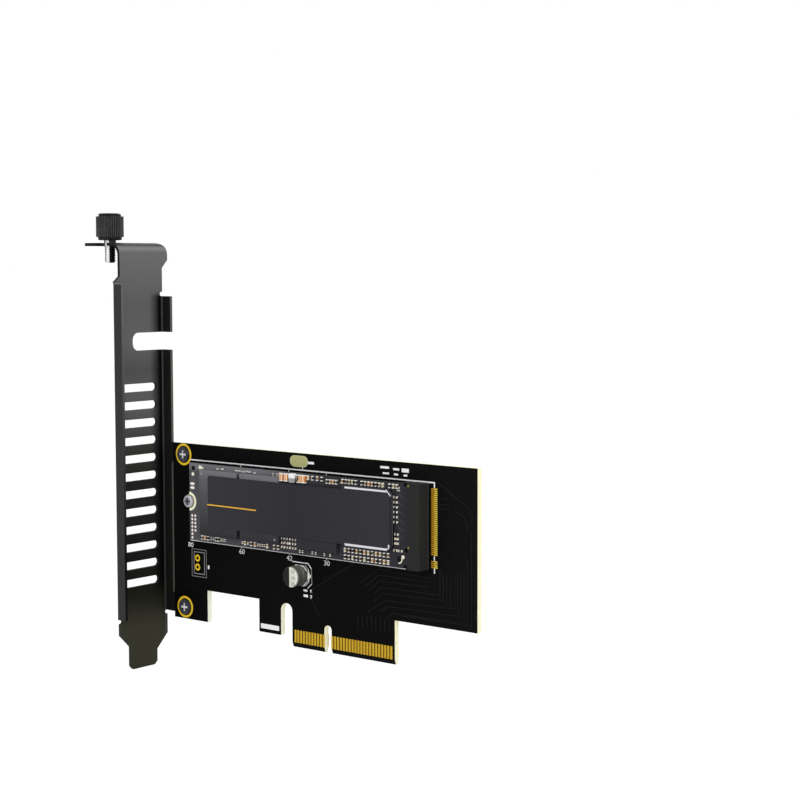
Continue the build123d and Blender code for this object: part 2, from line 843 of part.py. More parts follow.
# Each small part is a body between two soldered metal ends.
with BuildPart() as part_bodies:
    with BuildSketch(facing(module_front)):
        for (x, z, pitch), count in zip(large_rows, large_row_counts):
            with Locations((x + (count - 1) * pitch / 2, z)):
                with GridLocations(pitch, 1, count, 1):
                    Rectangle(large_width, large_length - 2 * part_end)
    extrude(amount=large_height)
    with BuildSketch(facing(module_front)):
        for (x, z, pitch), count in zip(upright_rows, upright_row_counts):
            with Locations((x + (count - 1) * pitch / 2, z)):
                with GridLocations(pitch, 1, count, 1):
                    Rectangle(small_width, small_length - 2 * part_end)
        for (x, z, pitch), count in zip(flat_columns, flat_column_counts):
            with Locations((x, z + (count - 1) * pitch / 2)):
                with GridLocations(1, pitch, 1, count):
                    Rectangle(small_length - 2 * part_end, small_width)
    extrude(amount=small_height)
part_bodies.part.label = "small_part_bodies"
export_step(part_bodies.part, "parts/small_part_bodies.step")

with BuildPart() as part_ends:
    with BuildSketch(facing(module_front)):
        for (x, z, pitch), count in zip(large_rows, large_row_counts):
            with Locations((x + (count - 1) * pitch / 2, z)):
                with GridLocations(pitch, large_length - part_end, count, 2):
                    Rectangle(large_width, part_end)
    extrude(amount=large_height)
    with BuildSketch(facing(module_front)):
        for (x, z, pitch), count in zip(upright_rows, upright_row_counts):
            with Locations((x + (count - 1) * pitch / 2, z)):
                with GridLocations(pitch, small_length - part_end, count, 2):
                    Rectangle(small_width, part_end)
        for (x, z, pitch), count in zip(flat_columns, flat_column_counts):
            with Locations((x, z + (count - 1) * pitch / 2)):
                with GridLocations(small_length - part_end, pitch, 2, count):
                    Rectangle(part_end, small_width)
    extrude(amount=small_height)
part_ends.part.label = "small_part_ends"
export_step(part_ends.part, "parts/small_part_ends.step")


# The capacitor's can is turned: a groove is rolled in above the base and its top edge is rounded.
can_plane = Plane(origin=(can_x, board_front, can_z), x_dir=(1, 0, 0), z_dir=(0, 0, -1))

with BuildPart() as can:
    with BuildSketch(can_plane):
        with BuildLine():
            radius = can_diameter / 2
            groove_z = can_base_height + can_groove_rise
            Polyline(
                (0, can_base_height),
                (radius, can_base_height),
                (radius, groove_z - can_groove_height / 2),
                (radius - can_groove, groove_z),
                (radius, groove_z + can_groove_height / 2),
                (radius, can_height - can_shoulder_drop),
                (radius - can_shoulder, can_height),
                (0, can_height),
                close=True,
            )
        make_face()
    revolve(axis=Axis((can_x, 0, can_z), (0, 1, 0)))
can.part.label = "capacitor_can"
export_step(can.part, "parts/capacitor_can.step")

with BuildPart() as can_base:
    with BuildSketch(facing(board_front)) as base_outline:
        with Locations((can_x, can_z)):
            Rectangle(can_base_size, can_base_size)
        chamfer(base_outline.vertices().group_by(Axis.X)[-1], can_base_corner)
    extrude(amount=can_base_height)
can_base.part.label = "capacitor_base"
export_step(can_base.part, "parts/capacitor_base.step")

with BuildPart() as can_leads:
    with BuildSketch(facing(board_front)):
        with Locations((can_x, can_z)):
            with GridLocations(can_base_size + can_lead_reach, 1, 2, 1):
                Rectangle(can_lead_reach, can_lead_width)
    extrude(amount=can_lead_thickness)
can_leads.part.label = "capacitor_leads"
export_step(can_leads.part, "parts/capacitor_leads.step")


with BuildPart() as header_pads:
    for face, outward in ((board_front, 1), (board_back, -1)):
        with BuildSketch(facing(face)):
            with Locations((header_x, header_height)):
                with GridLocations(1, header_pitch, 1, 2):
                    RegularPolygon(header_pad_diameter / 2, header_pad_side_count)
                    RegularPolygon(header_hole / 2, header_pad_side_count, mode=Mode.SUBTRACT)
        extrude(amount=outward * pad_thickness)
header_pads.part.label = "header_pads"
export_step(header_pads.part, "parts/header_pads.step")

with BuildPart() as oval_pad:
    with BuildSketch(facing(board_front)):
        with Locations((oval_x, board_top - oval_drop)):
            SlotOverall(oval_length, oval_width)
    extrude(amount=pad_thickness)
oval_pad.part.label = "oval_pad"
export_step(oval_pad.part, "parts/oval_pad.step")
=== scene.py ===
# %% [markdown]
# # A storage adapter card
#
# The frame is a plug-in card with its slot bracket, socket and flat storage module. Its solids are
# exact and bare. This lesson dresses them: it finds the camera, sets a plain light, gives every
# surface its finish, and adds what is too flat or too fine for a solid, such as print and traces.

# %% Load the frame
import math
from functools import reduce
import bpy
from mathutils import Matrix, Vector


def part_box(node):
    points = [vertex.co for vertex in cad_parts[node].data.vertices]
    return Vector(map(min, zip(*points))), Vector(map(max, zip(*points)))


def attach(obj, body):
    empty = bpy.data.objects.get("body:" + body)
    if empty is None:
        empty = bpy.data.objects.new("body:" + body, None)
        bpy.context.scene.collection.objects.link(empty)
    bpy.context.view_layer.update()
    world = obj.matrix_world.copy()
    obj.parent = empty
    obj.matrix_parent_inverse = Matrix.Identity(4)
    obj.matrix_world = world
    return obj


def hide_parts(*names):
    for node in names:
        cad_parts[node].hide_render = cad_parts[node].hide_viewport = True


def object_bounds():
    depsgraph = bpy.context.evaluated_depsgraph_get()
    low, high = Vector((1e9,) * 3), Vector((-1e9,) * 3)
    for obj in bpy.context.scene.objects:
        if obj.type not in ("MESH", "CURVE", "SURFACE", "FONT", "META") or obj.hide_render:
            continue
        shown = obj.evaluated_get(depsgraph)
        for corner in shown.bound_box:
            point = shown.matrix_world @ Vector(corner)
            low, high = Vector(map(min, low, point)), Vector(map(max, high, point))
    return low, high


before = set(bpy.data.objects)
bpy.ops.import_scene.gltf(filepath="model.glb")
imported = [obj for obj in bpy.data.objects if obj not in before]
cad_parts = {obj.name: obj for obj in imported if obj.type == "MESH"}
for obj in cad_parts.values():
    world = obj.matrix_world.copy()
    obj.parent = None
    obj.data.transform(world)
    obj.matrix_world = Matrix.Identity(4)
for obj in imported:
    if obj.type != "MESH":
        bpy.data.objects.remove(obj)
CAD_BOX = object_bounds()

from types import SimpleNamespace

import bmesh
import bpy
from mathutils import Matrix, Vector

MM = 0.001
print("frame box in mm:", [[round(v / MM, 2) for v in corner] for corner in CAD_BOX])


def span(node, axis):
    """Lowest and highest value of a solid of the frame along one axis, in mm."""
    low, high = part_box(node)
    return low[axis] / MM, high[axis] / MM


def middle(node):
    """Middle of a solid of the frame, in mm."""
    return [sum(span(node, axis)) / 2 for axis in range(3)]


# %% [markdown]
# ## Camera
#
# The picture was taken from the free end of the card, a little above its middle. The camera stands
# where lines of known length fall on the same pixels as in the picture. Its place could be set by
# eye, but a small error in distance changes how fast the card narrows, so these numbers are solved.

# %% Camera
CAMERA_PLACE = (305.30, -347.35, 101.68)
CAMERA_TURN = 39.017
CAMERA_DIP = 4.340
CAMERA_ROLL = -0.121
FOCAL_PIXELS = 1779.7
PICTURE_PIXELS = 800
SENSOR = 36.0
NEAREST = 0.01
FARTHEST = 20


def camera_axes(turn, dip, roll):
    """Right, up and forward directions of a camera that looks along +Y when it isn't turned."""
    turn, dip, roll = (math.radians(v) for v in (turn, dip, roll))
    forward = Vector((-math.sin(turn) * math.cos(dip), math.cos(turn) * math.cos(dip), -math.sin(dip)))
    level = Vector((math.cos(turn), math.sin(turn), 0))
    upright = level.cross(forward)
    right = level * math.cos(roll) + upright * math.sin(roll)
    up = upright * math.cos(roll) - level * math.sin(roll)
    return right, up, forward


lens = bpy.data.cameras.new("card_camera")
lens.sensor_width = SENSOR
lens.lens = SENSOR * FOCAL_PIXELS / PICTURE_PIXELS
lens.clip_start = NEAREST
lens.clip_end = FARTHEST
camera = bpy.data.objects.new("card_camera", lens)
bpy.context.scene.collection.objects.link(camera)
right, up, forward = camera_axes(CAMERA_TURN, CAMERA_DIP, CAMERA_ROLL)
turn_matrix = Matrix((right, up, -forward)).transposed().to_4x4()
camera.matrix_world = Matrix.Translation(Vector(CAMERA_PLACE) * MM) @ turn_matrix
bpy.context.scene.camera = camera
bpy.context.scene.view_settings.view_transform = "Standard"
print("lens in mm:", round(lens.lens, 1))

# %% [markdown]
# ## Light and floor
#
# A product picture like this has light from all sides and a white ground. The world gives an even
# level, and three large soft lamps give it direction. The white ground is only what the camera and
# the reflections see, so it adds no light to the card.

# %% World
WORLD_LEVEL = 0.42


def node_maker(tree):
    """Short way to add nodes and links to one tree."""
    def add(kind, **values):
        node = tree.nodes.new(kind)
        for key, value in values.items():
            setattr(node, key, value)
        return node

    def join(source, target):
        tree.links.new(source, target)

    return add, join


world = bpy.data.worlds.new("studio")
bpy.context.scene.world = world
world.use_nodes = True
world.node_tree.nodes.clear()
add, join = node_maker(world.node_tree)
path = add("ShaderNodeLightPath")
mirrored = add("ShaderNodeMath", operation="MAXIMUM")
join(path.outputs["Is Glossy Ray"], mirrored.inputs[0])
join(path.outputs["Is Transmission Ray"], mirrored.inputs[1])
seen = add("ShaderNodeMath", operation="MAXIMUM")
join(path.outputs["Is Camera Ray"], seen.inputs[0])
join(mirrored.outputs[0], seen.inputs[1])
even = add("ShaderNodeBackground")
even.inputs["Color"].default_value = (1, 1, 1, 1)
even.inputs["Strength"].default_value = WORLD_LEVEL
white = add("ShaderNodeBackground")
white.inputs["Color"].default_value = (1, 1, 1, 1)
white.inputs["Strength"].default_value = 1.0
choose = add("ShaderNodeMixShader")
join(seen.outputs[0], choose.inputs[0])
join(even.outputs[0], choose.inputs[1])
join(white.outputs[0], choose.inputs[2])
out = add("ShaderNodeOutputWorld")
join(choose.outputs[0], out.inputs["Surface"])


# %% Lamps
LAMP_AIM = (0, 0, 45)
LAMPS = (
    ("front_lamp", (-100, -700, 420), 500, 2.0),
    ("right_lamp", (720, -120, 380), 500, 2.9),
    ("back_lamp", (-350, 600, 420), 450, 2.2),
)


def soft_lamp(name, place, size, power):
    """A square area lamp in mm, aimed at the middle of the card."""
    light = bpy.data.lights.new(name, "AREA")
    light.shape = "SQUARE"
    light.size = size * MM
    light.energy = power
    lamp = bpy.data.objects.new(name, light)
    bpy.context.scene.collection.objects.link(lamp)
    aim = (Vector(LAMP_AIM) - Vector(place)).to_track_quat("-Z", "Y")
    lamp.matrix_world = Matrix.Translation(Vector(place) * MM) @ aim.to_matrix().to_4x4()
    return lamp


for lamp_values in LAMPS:
    soft_lamp(*lamp_values)
print("lamps:", len(LAMPS))

# %% Floor
FLOOR_DROP = 0.4
FLOOR_REACH = 3.0
FLOOR_COLOUR = (0.9, 0.9, 0.9, 1)
GLOW_SHARE = 0.9
GLOW_LEVEL = 1.1

floor_height = CAD_BOX[0][2] - FLOOR_DROP * MM
floor_mesh = bpy.data.meshes.new("floor")
sides = ((-1, -1), (1, -1), (1, 1), (-1, 1))
corners = [(x * FLOOR_REACH, y * FLOOR_REACH, floor_height) for x, y in sides]
floor_mesh.from_pydata(corners, [], [(0, 1, 2, 3)])
floor = bpy.data.objects.new("floor", floor_mesh)
bpy.context.scene.collection.objects.link(floor)
floor_material = bpy.data.materials.new("pale_floor")
floor_material.use_nodes = True
floor_material.node_tree.nodes.clear()
add, join = node_maker(floor_material.node_tree)
matt = add("ShaderNodeBsdfDiffuse")
matt.inputs["Color"].default_value = FLOOR_COLOUR
glow = add("ShaderNodeEmission")
glow.inputs["Strength"].default_value = GLOW_LEVEL
path = add("ShaderNodeLightPath")
share = add("ShaderNodeMath", operation="MULTIPLY")
share.inputs[1].default_value = GLOW_SHARE
join(path.outputs["Is Camera Ray"], share.inputs[0])
mix = add("ShaderNodeMixShader")
join(share.outputs[0], mix.inputs[0])
join(matt.outputs[0], mix.inputs[1])
join(glow.outputs[0], mix.inputs[2])
out = add("ShaderNodeOutputMaterial")
join(mix.outputs[0], out.inputs["Surface"])
floor_mesh.materials.append(floor_material)
print("floor height in mm:", round(floor_height / MM, 2))


# %% [markdown]
# ## Finishes
#
# Every finish starts from the same shader. Small changes of roughness and a faint grain keep a
# surface from looking like plain plastic. Colours are written as they look on a screen, 0 to 255.
# Where one solid carries two finishes, such as a board's lacquer and its sawn edge, a mask made from
# the place or the facing of the surface chooses between them.

# %% Screen colours
def screen(r, g=None, b=None):
    """A screen colour, 0 to 255, as the linear colour a shader wants. One number gives a grey."""
    def linear(v):
        v = v / 255
        return v / 12.92 if v <= 0.04045 else ((v + 0.055) / 1.055) ** 2.4
    return (linear(r), linear(r if g is None else g), linear(r if b is None else b), 1.0)


# %% A bare finish
def bare_finish(name, colour, rough=0.5, metal=0.0, specular=0.1):
    """A new finish: its material, its main shader, and the short ways to add nodes and links."""
    material = bpy.data.materials.new(name)
    material.use_nodes = True
    material.node_tree.nodes.clear()
    add, join = node_maker(material.node_tree)
    shader = add("ShaderNodeBsdfPrincipled")
    shader.inputs["Base Color"].default_value = colour
    shader.inputs["Roughness"].default_value = rough
    shader.inputs["Metallic"].default_value = metal
    shader.inputs["Specular IOR Level"].default_value = specular
    join(shader.outputs[0], add("ShaderNodeOutputMaterial").inputs["Surface"])
    return SimpleNamespace(material=material, add=add, join=join, shader=shader)


def paint(skin, colour):
    """Makes a colour of the tree the colour of the finish."""
    skin.join(colour, skin.shader.inputs["Base Color"])


def dress(node, skin):
    """Gives a solid of the frame its finish."""
    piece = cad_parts[node]
    piece.data.materials.clear()
    piece.data.materials.append(skin.material)


# %% Values in a tree
def maths(skin, kind, first, second=None):
    """One maths node with sockets or numbers as inputs. Returns its output."""
    node = skin.add("ShaderNodeMath", operation=kind)
    for socket, value in zip(node.inputs, (first, second)):
        if hasattr(value, "is_output"):
            skin.join(value, socket)
        elif value is not None:
            socket.default_value = value
    return node.outputs[0]


def ramp_between(skin, value, low, high, result=(0.0, 1.0)):
    """First result up to the low limit, second from the high one. The limits may be in any order."""
    ramp = skin.add("ShaderNodeMapRange")
    limits = {"From Min": low, "From Max": high, "To Min": result[0], "To Max": result[1]}
    for socket, number in limits.items():
        ramp.inputs[socket].default_value = number
    skin.join(value, ramp.inputs["Value"])
    return ramp.outputs[0]


def on_piece(skin, what="Object"):
    """The place of the shaded point in the card's own space, or its Normal."""
    return skin.add("ShaderNodeTexCoord").outputs[what]


def place_along(skin, axis):
    """The place of the shaded point along one axis of the card, in mm."""
    split = skin.add("ShaderNodeSeparateXYZ")
    skin.join(on_piece(skin), split.inputs[0])
    return maths(skin, "DIVIDE", split.outputs[axis], MM)


# %% Masks by place
EDGE_SOFT = 0.02


def past(skin, axis, limit, soft=EDGE_SOFT):
    """1 where the place along an axis is past a limit in mm."""
    return ramp_between(skin, place_along(skin, axis), limit - soft, limit + soft)


def short_of(skin, axis, limit, soft=EDGE_SOFT):
    """1 where the place along an axis is short of a limit in mm."""
    return ramp_between(skin, place_along(skin, axis), limit + soft, limit - soft)


def distance_from(skin, centre, flat):
    """Distance in mm from a line along the flat axis through a point."""
    shift = skin.add("ShaderNodeVectorMath", operation="SUBTRACT")
    skin.join(on_piece(skin), shift.inputs[0])
    shift.inputs[1].default_value = [v * MM for v in centre]
    keep = skin.add("ShaderNodeVectorMath", operation="MULTIPLY")
    skin.join(shift.outputs[0], keep.inputs[0])
    keep.inputs[1].default_value = [0 if axis == flat else 1 / MM for axis in "XYZ"]
    length = skin.add("ShaderNodeVectorMath", operation="LENGTH")
    skin.join(keep.outputs[0], length.inputs[0])
    return length.outputs["Value"]


# %% Masks by facing
FACING_STARTS = 0.45
FACING_FULL = 0.85


def facing(skin, axis, sign):
    """1 where the surface faces one way along an axis, and 0 where it doesn't."""
    split = skin.add("ShaderNodeSeparateXYZ")
    skin.join(on_piece(skin, "Normal"), split.inputs[0])
    return ramp_between(skin, split.outputs[axis], FACING_STARTS * sign, FACING_FULL * sign)


def both(skin, *masks):
    """1 where all the masks are 1."""
    return reduce(lambda first, second: maths(skin, "MULTIPLY", first, second), masks)


def either(skin, *masks):
    """1 where any of the masks is 1."""
    return reduce(lambda first, second: maths(skin, "MAXIMUM", first, second), masks)


def facing_either_way(skin, axis):
    """1 where the surface faces either way along an axis."""
    return either(skin, facing(skin, axis, 1), facing(skin, axis, -1))


# %% Colours in a tree
def blend_colour(skin, factor, first, second, blend="MIX"):
    """One colour where the factor is 0 and another where it is 1. All three may be sockets."""
    mix = skin.add("ShaderNodeMix", data_type="RGBA", blend_type=blend)
    for socket, value in ((mix.inputs["Factor"], factor), (mix.inputs[6], first), (mix.inputs[7], second)):
        if hasattr(value, "is_output"):
            skin.join(value, socket)
        else:
            socket.default_value = value
    return mix.outputs[2]


def gradient(skin, value, stops, kind="LINEAR"):
    """Colours that follow a value: stops are pairs of a value from 0 to 1 and a colour, rising."""
    ramp = skin.add("ShaderNodeValToRGB")
    ramp.color_ramp.interpolation = kind
    while len(ramp.color_ramp.elements) < len(stops):
        ramp.color_ramp.elements.new(0.5)
    for element, (place, colour) in zip(ramp.color_ramp.elements, stops):
        element.position = place
        element.color = colour
    skin.join(value, ramp.inputs[0])
    return ramp.outputs[0]


def colours_along(skin, axis, stops):
    """A gradient along an axis: stops are pairs of a place in mm and a colour, in rising order."""
    low, high = stops[0][0], stops[-1][0]
    share = ramp_between(skin, place_along(skin, axis), low, high)
    return gradient(skin, share, [((place - low) / (high - low), colour) for place, colour in stops])


# %% Grain
BUMP_HEIGHT = 0.00002


def noise_field(skin, scale, detail=2.0):
    """A cloudy value that is fixed to the piece."""
    noise = skin.add("ShaderNodeTexNoise")
    noise.inputs["Scale"].default_value = scale
    noise.inputs["Detail"].default_value = detail
    skin.join(on_piece(skin), noise.inputs["Vector"])
    return noise.outputs["Fac"]


def grain(skin, scale, strength, rough_range=None):
    """Fine uneven surface: bump, and a range of roughness if one is given. Returns its noise."""
    noise = noise_field(skin, scale, 4)
    bump = skin.add("ShaderNodeBump")
    bump.inputs["Strength"].default_value = strength
    bump.inputs["Distance"].default_value = BUMP_HEIGHT
    skin.join(noise, bump.inputs["Height"])
    skin.join(bump.outputs["Normal"], skin.shader.inputs["Normal"])
    if rough_range:
        skin.join(ramp_between(skin, noise, 0, 1, rough_range), skin.shader.inputs["Roughness"])
    return noise


def speckle(skin, colour, noise, gain):
    """A colour that wanders a little with a noise, so that no face is one flat tone."""
    return blend_colour(skin, 1.0, colour, ramp_between(skin, noise, 0, 1, (2 - gain, gain)), "MULTIPLY")


# %% A plain finish
def plain_finish(name, colour, rough=0.5, metal=0.0, specular=0.1, scale=2500, strength=0.08, gain=1.12,
                 tones=None, rough_range=None):
    """A finish in one colour, or in tones along an axis, with a faint grain."""
    skin = bare_finish(name, colour, rough, metal, specular)
    noise = grain(skin, scale, strength, rough_range)
    if tones:
        colour = colours_along(skin, *tones)
    paint(skin, speckle(skin, colour, noise, gain))
    return skin


# %% [markdown]
# ### Circuit boards
#
# A board is glass cloth in resin under a coloured lacquer. The lacquer covers its faces only, so the
# sawn edges show the pale laminate. One material can hold both: it is lacquer where the surface faces
# front or back, and laminate where it faces sideways, apart from the plated holes of the header.

# %% The card's own board
BOARD_FRONT, BOARD_BACK = span("board", 1)
HEADER_MIDDLE = middle("header_pads")
HEADER_ZONE = (2.2, 2.3)
BOARD_TONES = ((-57, screen(7)), (-20, screen(8)), (20, screen(10)), (48, screen(16)))
LAMINATE_TONES = (
    (-50, screen(255, 255, 238)), (20, screen(255, 252, 220)), (48, screen(253, 249, 212)),
)

skin = bare_finish("board_lacquer", screen(10), rough=0.45, specular=0.03)
noise = grain(skin, 900, 0.05)
lacquer = speckle(skin, colours_along(skin, "X", BOARD_TONES), noise, 1.5)
laminate = speckle(skin, colours_along(skin, "X", LAMINATE_TONES), noise, 1.03)
past_header = ramp_between(skin, distance_from(skin, HEADER_MIDDLE, "Y"), *HEADER_ZONE)
sawn = maths(skin, "SUBTRACT", 1.0, facing_either_way(skin, "Y"))
paint(skin, blend_colour(skin, both(skin, sawn, past_header), lacquer, laminate))
dress("board", skin)
print("board from", round(BOARD_FRONT, 2), "to", round(BOARD_BACK, 2), "mm")

# %% Module board
MODULE_FRONT = span("module_board", 1)[0]
MODULE_SHEEN_TONES = (
    (-48, screen(84, 84, 88)), (-30, screen(72, 71, 77)), (-8, screen(56, 55, 61)), (30, screen(48, 47, 53)),
)
SHEEN_FROM_Z = 45.6
SHEEN_TO_X = -10

skin = bare_finish("module_lacquer", screen(60), rough=0.4, specular=0.08)
noise = grain(skin, 1300, 0.08)
# painted sheen: the tones along X are lighter towards the held-down end, and a lighter patch lies along the
# upper edge
tones = speckle(skin, colours_along(skin, "X", MODULE_SHEEN_TONES), noise, 1.15)
sheen = both(skin, past(skin, "Z", SHEEN_FROM_Z, 0.4), short_of(skin, "X", SHEEN_TO_X, 12))
tones = blend_colour(skin, sheen, tones, screen(115, 115, 121))
paint(skin, blend_colour(skin, facing_either_way(skin, "Y"), screen(34, 33, 34), tones))
dress("module_board", skin)
print("module's face at y =", round(MODULE_FRONT, 2), "mm")

# %% [markdown]
# ### Metals
#
# Contacts are gold plated, the screws are plated steel, and the can is bare aluminium. A metal takes
# its colour from what it reflects. Small gold pads under a white ground would turn pale, so they
# keep part of their colour as paint would, with less metal in the mix.

# %% Gold
gold = plain_finish(
    "plated_gold", screen(214, 172, 44), 0.4, 0.5, 0.2, scale=1500, strength=0.05, rough_range=(0.32, 0.48),
)
for node in ("edge_contacts_front", "edge_contacts_back", "module_contacts"):
    dress(node, gold)
ring_gold = plain_finish(
    "ring_gold", screen(246, 204, 40), 0.45, 0.1, 0.2, scale=1500, strength=0.05, gain=1.15,
)
for node in ("screw_pads", "header_pads"):
    dress(node, ring_gold)

# %% Oval pad
OVAL_MIDDLE = middle("oval_pad")
OVAL_RIM_RISE = 1.12
OVAL_RIM_REACH = 2.52
WORN_METAL = screen(182, 181, 126)

skin = bare_finish("worn_pad", WORN_METAL, rough=0.5, metal=0.2)
noise = grain(skin, 1200, 0.1)
rim = either(
    skin,
    past(skin, "Z", OVAL_MIDDLE[2] + OVAL_RIM_RISE, 0.1),
    short_of(skin, "Z", OVAL_MIDDLE[2] - OVAL_RIM_RISE, 0.1),
    past(skin, "X", OVAL_MIDDLE[0] + OVAL_RIM_REACH, 0.2),
    short_of(skin, "X", OVAL_MIDDLE[0] - OVAL_RIM_REACH, 0.2),
)
paint(skin, speckle(skin, blend_colour(skin, rim, WORN_METAL, screen(192, 190, 142)), noise, 1.1))
dress("oval_pad", skin)

# %% Mount pad
MOUNT_MIDDLE = middle("module_standoff")
# a thin dark olive ring on the pale pad, around the screw
DARK_RING_RADII = (1.56, 1.86)
RING_SOFT = 0.03
PALE_METAL = screen(255, 254, 222)

skin = bare_finish("mount_pad_metal", PALE_METAL, rough=0.5, specular=0.2)
grain(skin, 1500, 0.06)
radius = distance_from(skin, MOUNT_MIDDLE, "Y")
ring = both(
    skin,
    ramp_between(skin, radius, DARK_RING_RADII[0] - RING_SOFT, DARK_RING_RADII[0] + RING_SOFT),
    ramp_between(skin, radius, DARK_RING_RADII[1] + RING_SOFT, DARK_RING_RADII[1] - RING_SOFT),
)
paint(skin, blend_colour(skin, ring, PALE_METAL, screen(84, 74, 22)))
dress("module_mount_pad", skin)

# %% Socket tails
TAIL_SHADE_END = 34.55
TAIL_BEND_END = 35.5

skin = bare_finish("soldered_tails", screen(214, 176, 60), rough=0.45, specular=0.3)
noise = grain(skin, 1500, 0.05)
bright = blend_colour(skin, past(skin, "X", TAIL_BEND_END), screen(222, 164, 36), screen(255, 226, 84))
toned = speckle(skin, bright, noise, 1.3)
paint(skin, blend_colour(skin, short_of(skin, "X", TAIL_SHADE_END), toned, screen(20, 16, 12)))
dress("socket_tails", skin)

# %% [markdown]
# ### Screws and solder
#
# A screw's head is dull on top, and its rim and cross recess carry painted light: on the bracket's
# screws a painted shade on the rim and a painted reflection in the recess, on the small screw a painted
# highlight on the rim and painted shade in the recess. The recess is a shape of the solid, but at this
# size its floor and walls need a painted tone of their own to be read, so a mask finds what lies below
# the head's top and near its middle.

# %% Screws
SCREW_LOW, SCREW_HIGH = span("bracket_screws", 2)
SCREW_HEAD_TOP = span("bracket_screws", 1)[0]
HEAD_RADIUS = 2.45
CROSS_REACH = 1.75
SMALL_CROSS_REACH = 0.8
RECESS_TOP = 0.08
RECESS_FLOOR = 1.1
RIM_START = 0.3
RIM_FULL = 0.42


def screw_steel(name, tones, head_top, reach, centres):
    """Plated steel, with a tone for the head, and painted light on its rim and in its cross recess."""
    head, rim, recess = tones
    skin = bare_finish(name, head, rough=0.35, metal=0.3, specular=0.2)
    noise = grain(skin, 900, 0.06)
    floor_mask = short_of(skin, "Y", head_top + RECESS_FLOOR)
    sunk = both(skin, past(skin, "Y", head_top + RECESS_TOP, 0.03), floor_mask)
    radii = [distance_from(skin, centre, "Y") for centre in centres]
    near = either(skin, *[ramp_between(skin, radius, reach, reach - 0.05) for radius in radii])
    rim_start, rim_full = reach + RIM_START, reach + RIM_FULL
    core = either(skin, *[ramp_between(skin, radius, rim_full, rim_start) for radius in radii])
    toned = blend_colour(skin, core, rim, speckle(skin, head, noise, 1.6))
    paint(skin, blend_colour(skin, both(skin, sunk, near), toned, recess))
    return skin


screw_x = middle("bracket_screws")[0]
screw_centres = [(screw_x, 0, z) for z in (SCREW_LOW + HEAD_RADIUS, SCREW_HIGH - HEAD_RADIUS)]
# the bracket's screws: painted shade on the rim and a painted reflection in the recess
dark_tones = (screen(68, 69, 77), screen(32), screen(255))
dress("bracket_screws", screw_steel("dark_screw", dark_tones, SCREW_HEAD_TOP, CROSS_REACH, screw_centres))
# the small screw: a painted highlight on the rim and painted shade in the recess
small_tones = (screen(128, 128, 136), screen(198, 198, 208), screen(30))
small_top = span("module_screw", 1)[0]
dress("module_screw", screw_steel("small_screw", small_tones, small_top, SMALL_CROSS_REACH, [MOUNT_MIDDLE]))
print("screw heads' top at y =", round(SCREW_HEAD_TOP, 2), "mm")

# %% Standoff and solder
standoff_metal = bare_finish("standoff_metal", screen(190, 180, 150), rough=0.35, metal=0.8, specular=0.5)
grain(standoff_metal, 1500, 0.05)
dress("module_standoff", standoff_metal)

solder = bare_finish("solder", screen(247, 244, 234), rough=0.4, specular=0.4)
grain(solder, 2500, 0.1)
for node in ("small_part_ends", "capacitor_leads"):
    dress(node, solder)

# %% [markdown]
# ### The bracket
#
# The bracket is sheet steel under a thin dark coat. On the real one the coat mirrors the room: the
# plate is light at its top and dark at its middle, the flange in front is an even dark grey, and the
# flange behind is nearly black. A mirror of the room would slide in other views, so this reflection
# and shade are painted into the coat's colour, along the height and by the way each face looks. Each
# layer below is a mask and its painted tone.

# %% Places and tones on the bracket
FRONT_FACE = span("bracket", 1)[0]
BRACKET_TOP = span("bracket", 2)[1]
SHEET = 0.86
PLATE_INNER = -65.10
BACK_FLANGE = 3.42 - SHEET
FRONT_FLANGE_TOP = 96.6
BACK_FLANGE_TOP = 93.6
SHOULDER = 90
# painted reflection along the plate's height: light at its top, with a painted highlight at the top bend,
# and dark at its middle
PLATE_REFLECTION_TONES = (
    (0, screen(56, 56, 45)), (10, screen(28, 28, 23)), (21, screen(27)), (31, screen(36)), (41, screen(35)),
    (51, screen(60, 60, 57)), (61, screen(92)), (66, screen(93)), (72, screen(80)), (75, screen(86)),
    (80, screen(98)), (90, screen(93)), (105.5, screen(107)), (106.1, screen(130)), (107.3, screen(132)),
    (107.8, screen(104)),
)
# painted shading along the height of the front flange's free edge, dark low and lighter high
CUT_EDGE_SHADING_TONES = ((20, screen(14)), (50, screen(60)), (92, screen(100)))

# %% Bracket
skin = bare_finish("bracket_paint", screen(60), rough=0.5, specular=0.06)
noise = grain(skin, 1800, 0.1)
looks_right = facing(skin, "X", 1)
looks_front = facing(skin, "Y", -1)
off_plate = past(skin, "X", PLATE_INNER)
on_flanges = past(skin, "X", PLATE_INNER + 1)
at_front = short_of(skin, "Y", FRONT_FACE + 0.6)
above_shoulder = past(skin, "Z", SHOULDER)
towards_fold = ramp_between(skin, place_along(skin, "Y"), BACK_FLANGE - 4.8, BACK_FLANGE - 1.1)

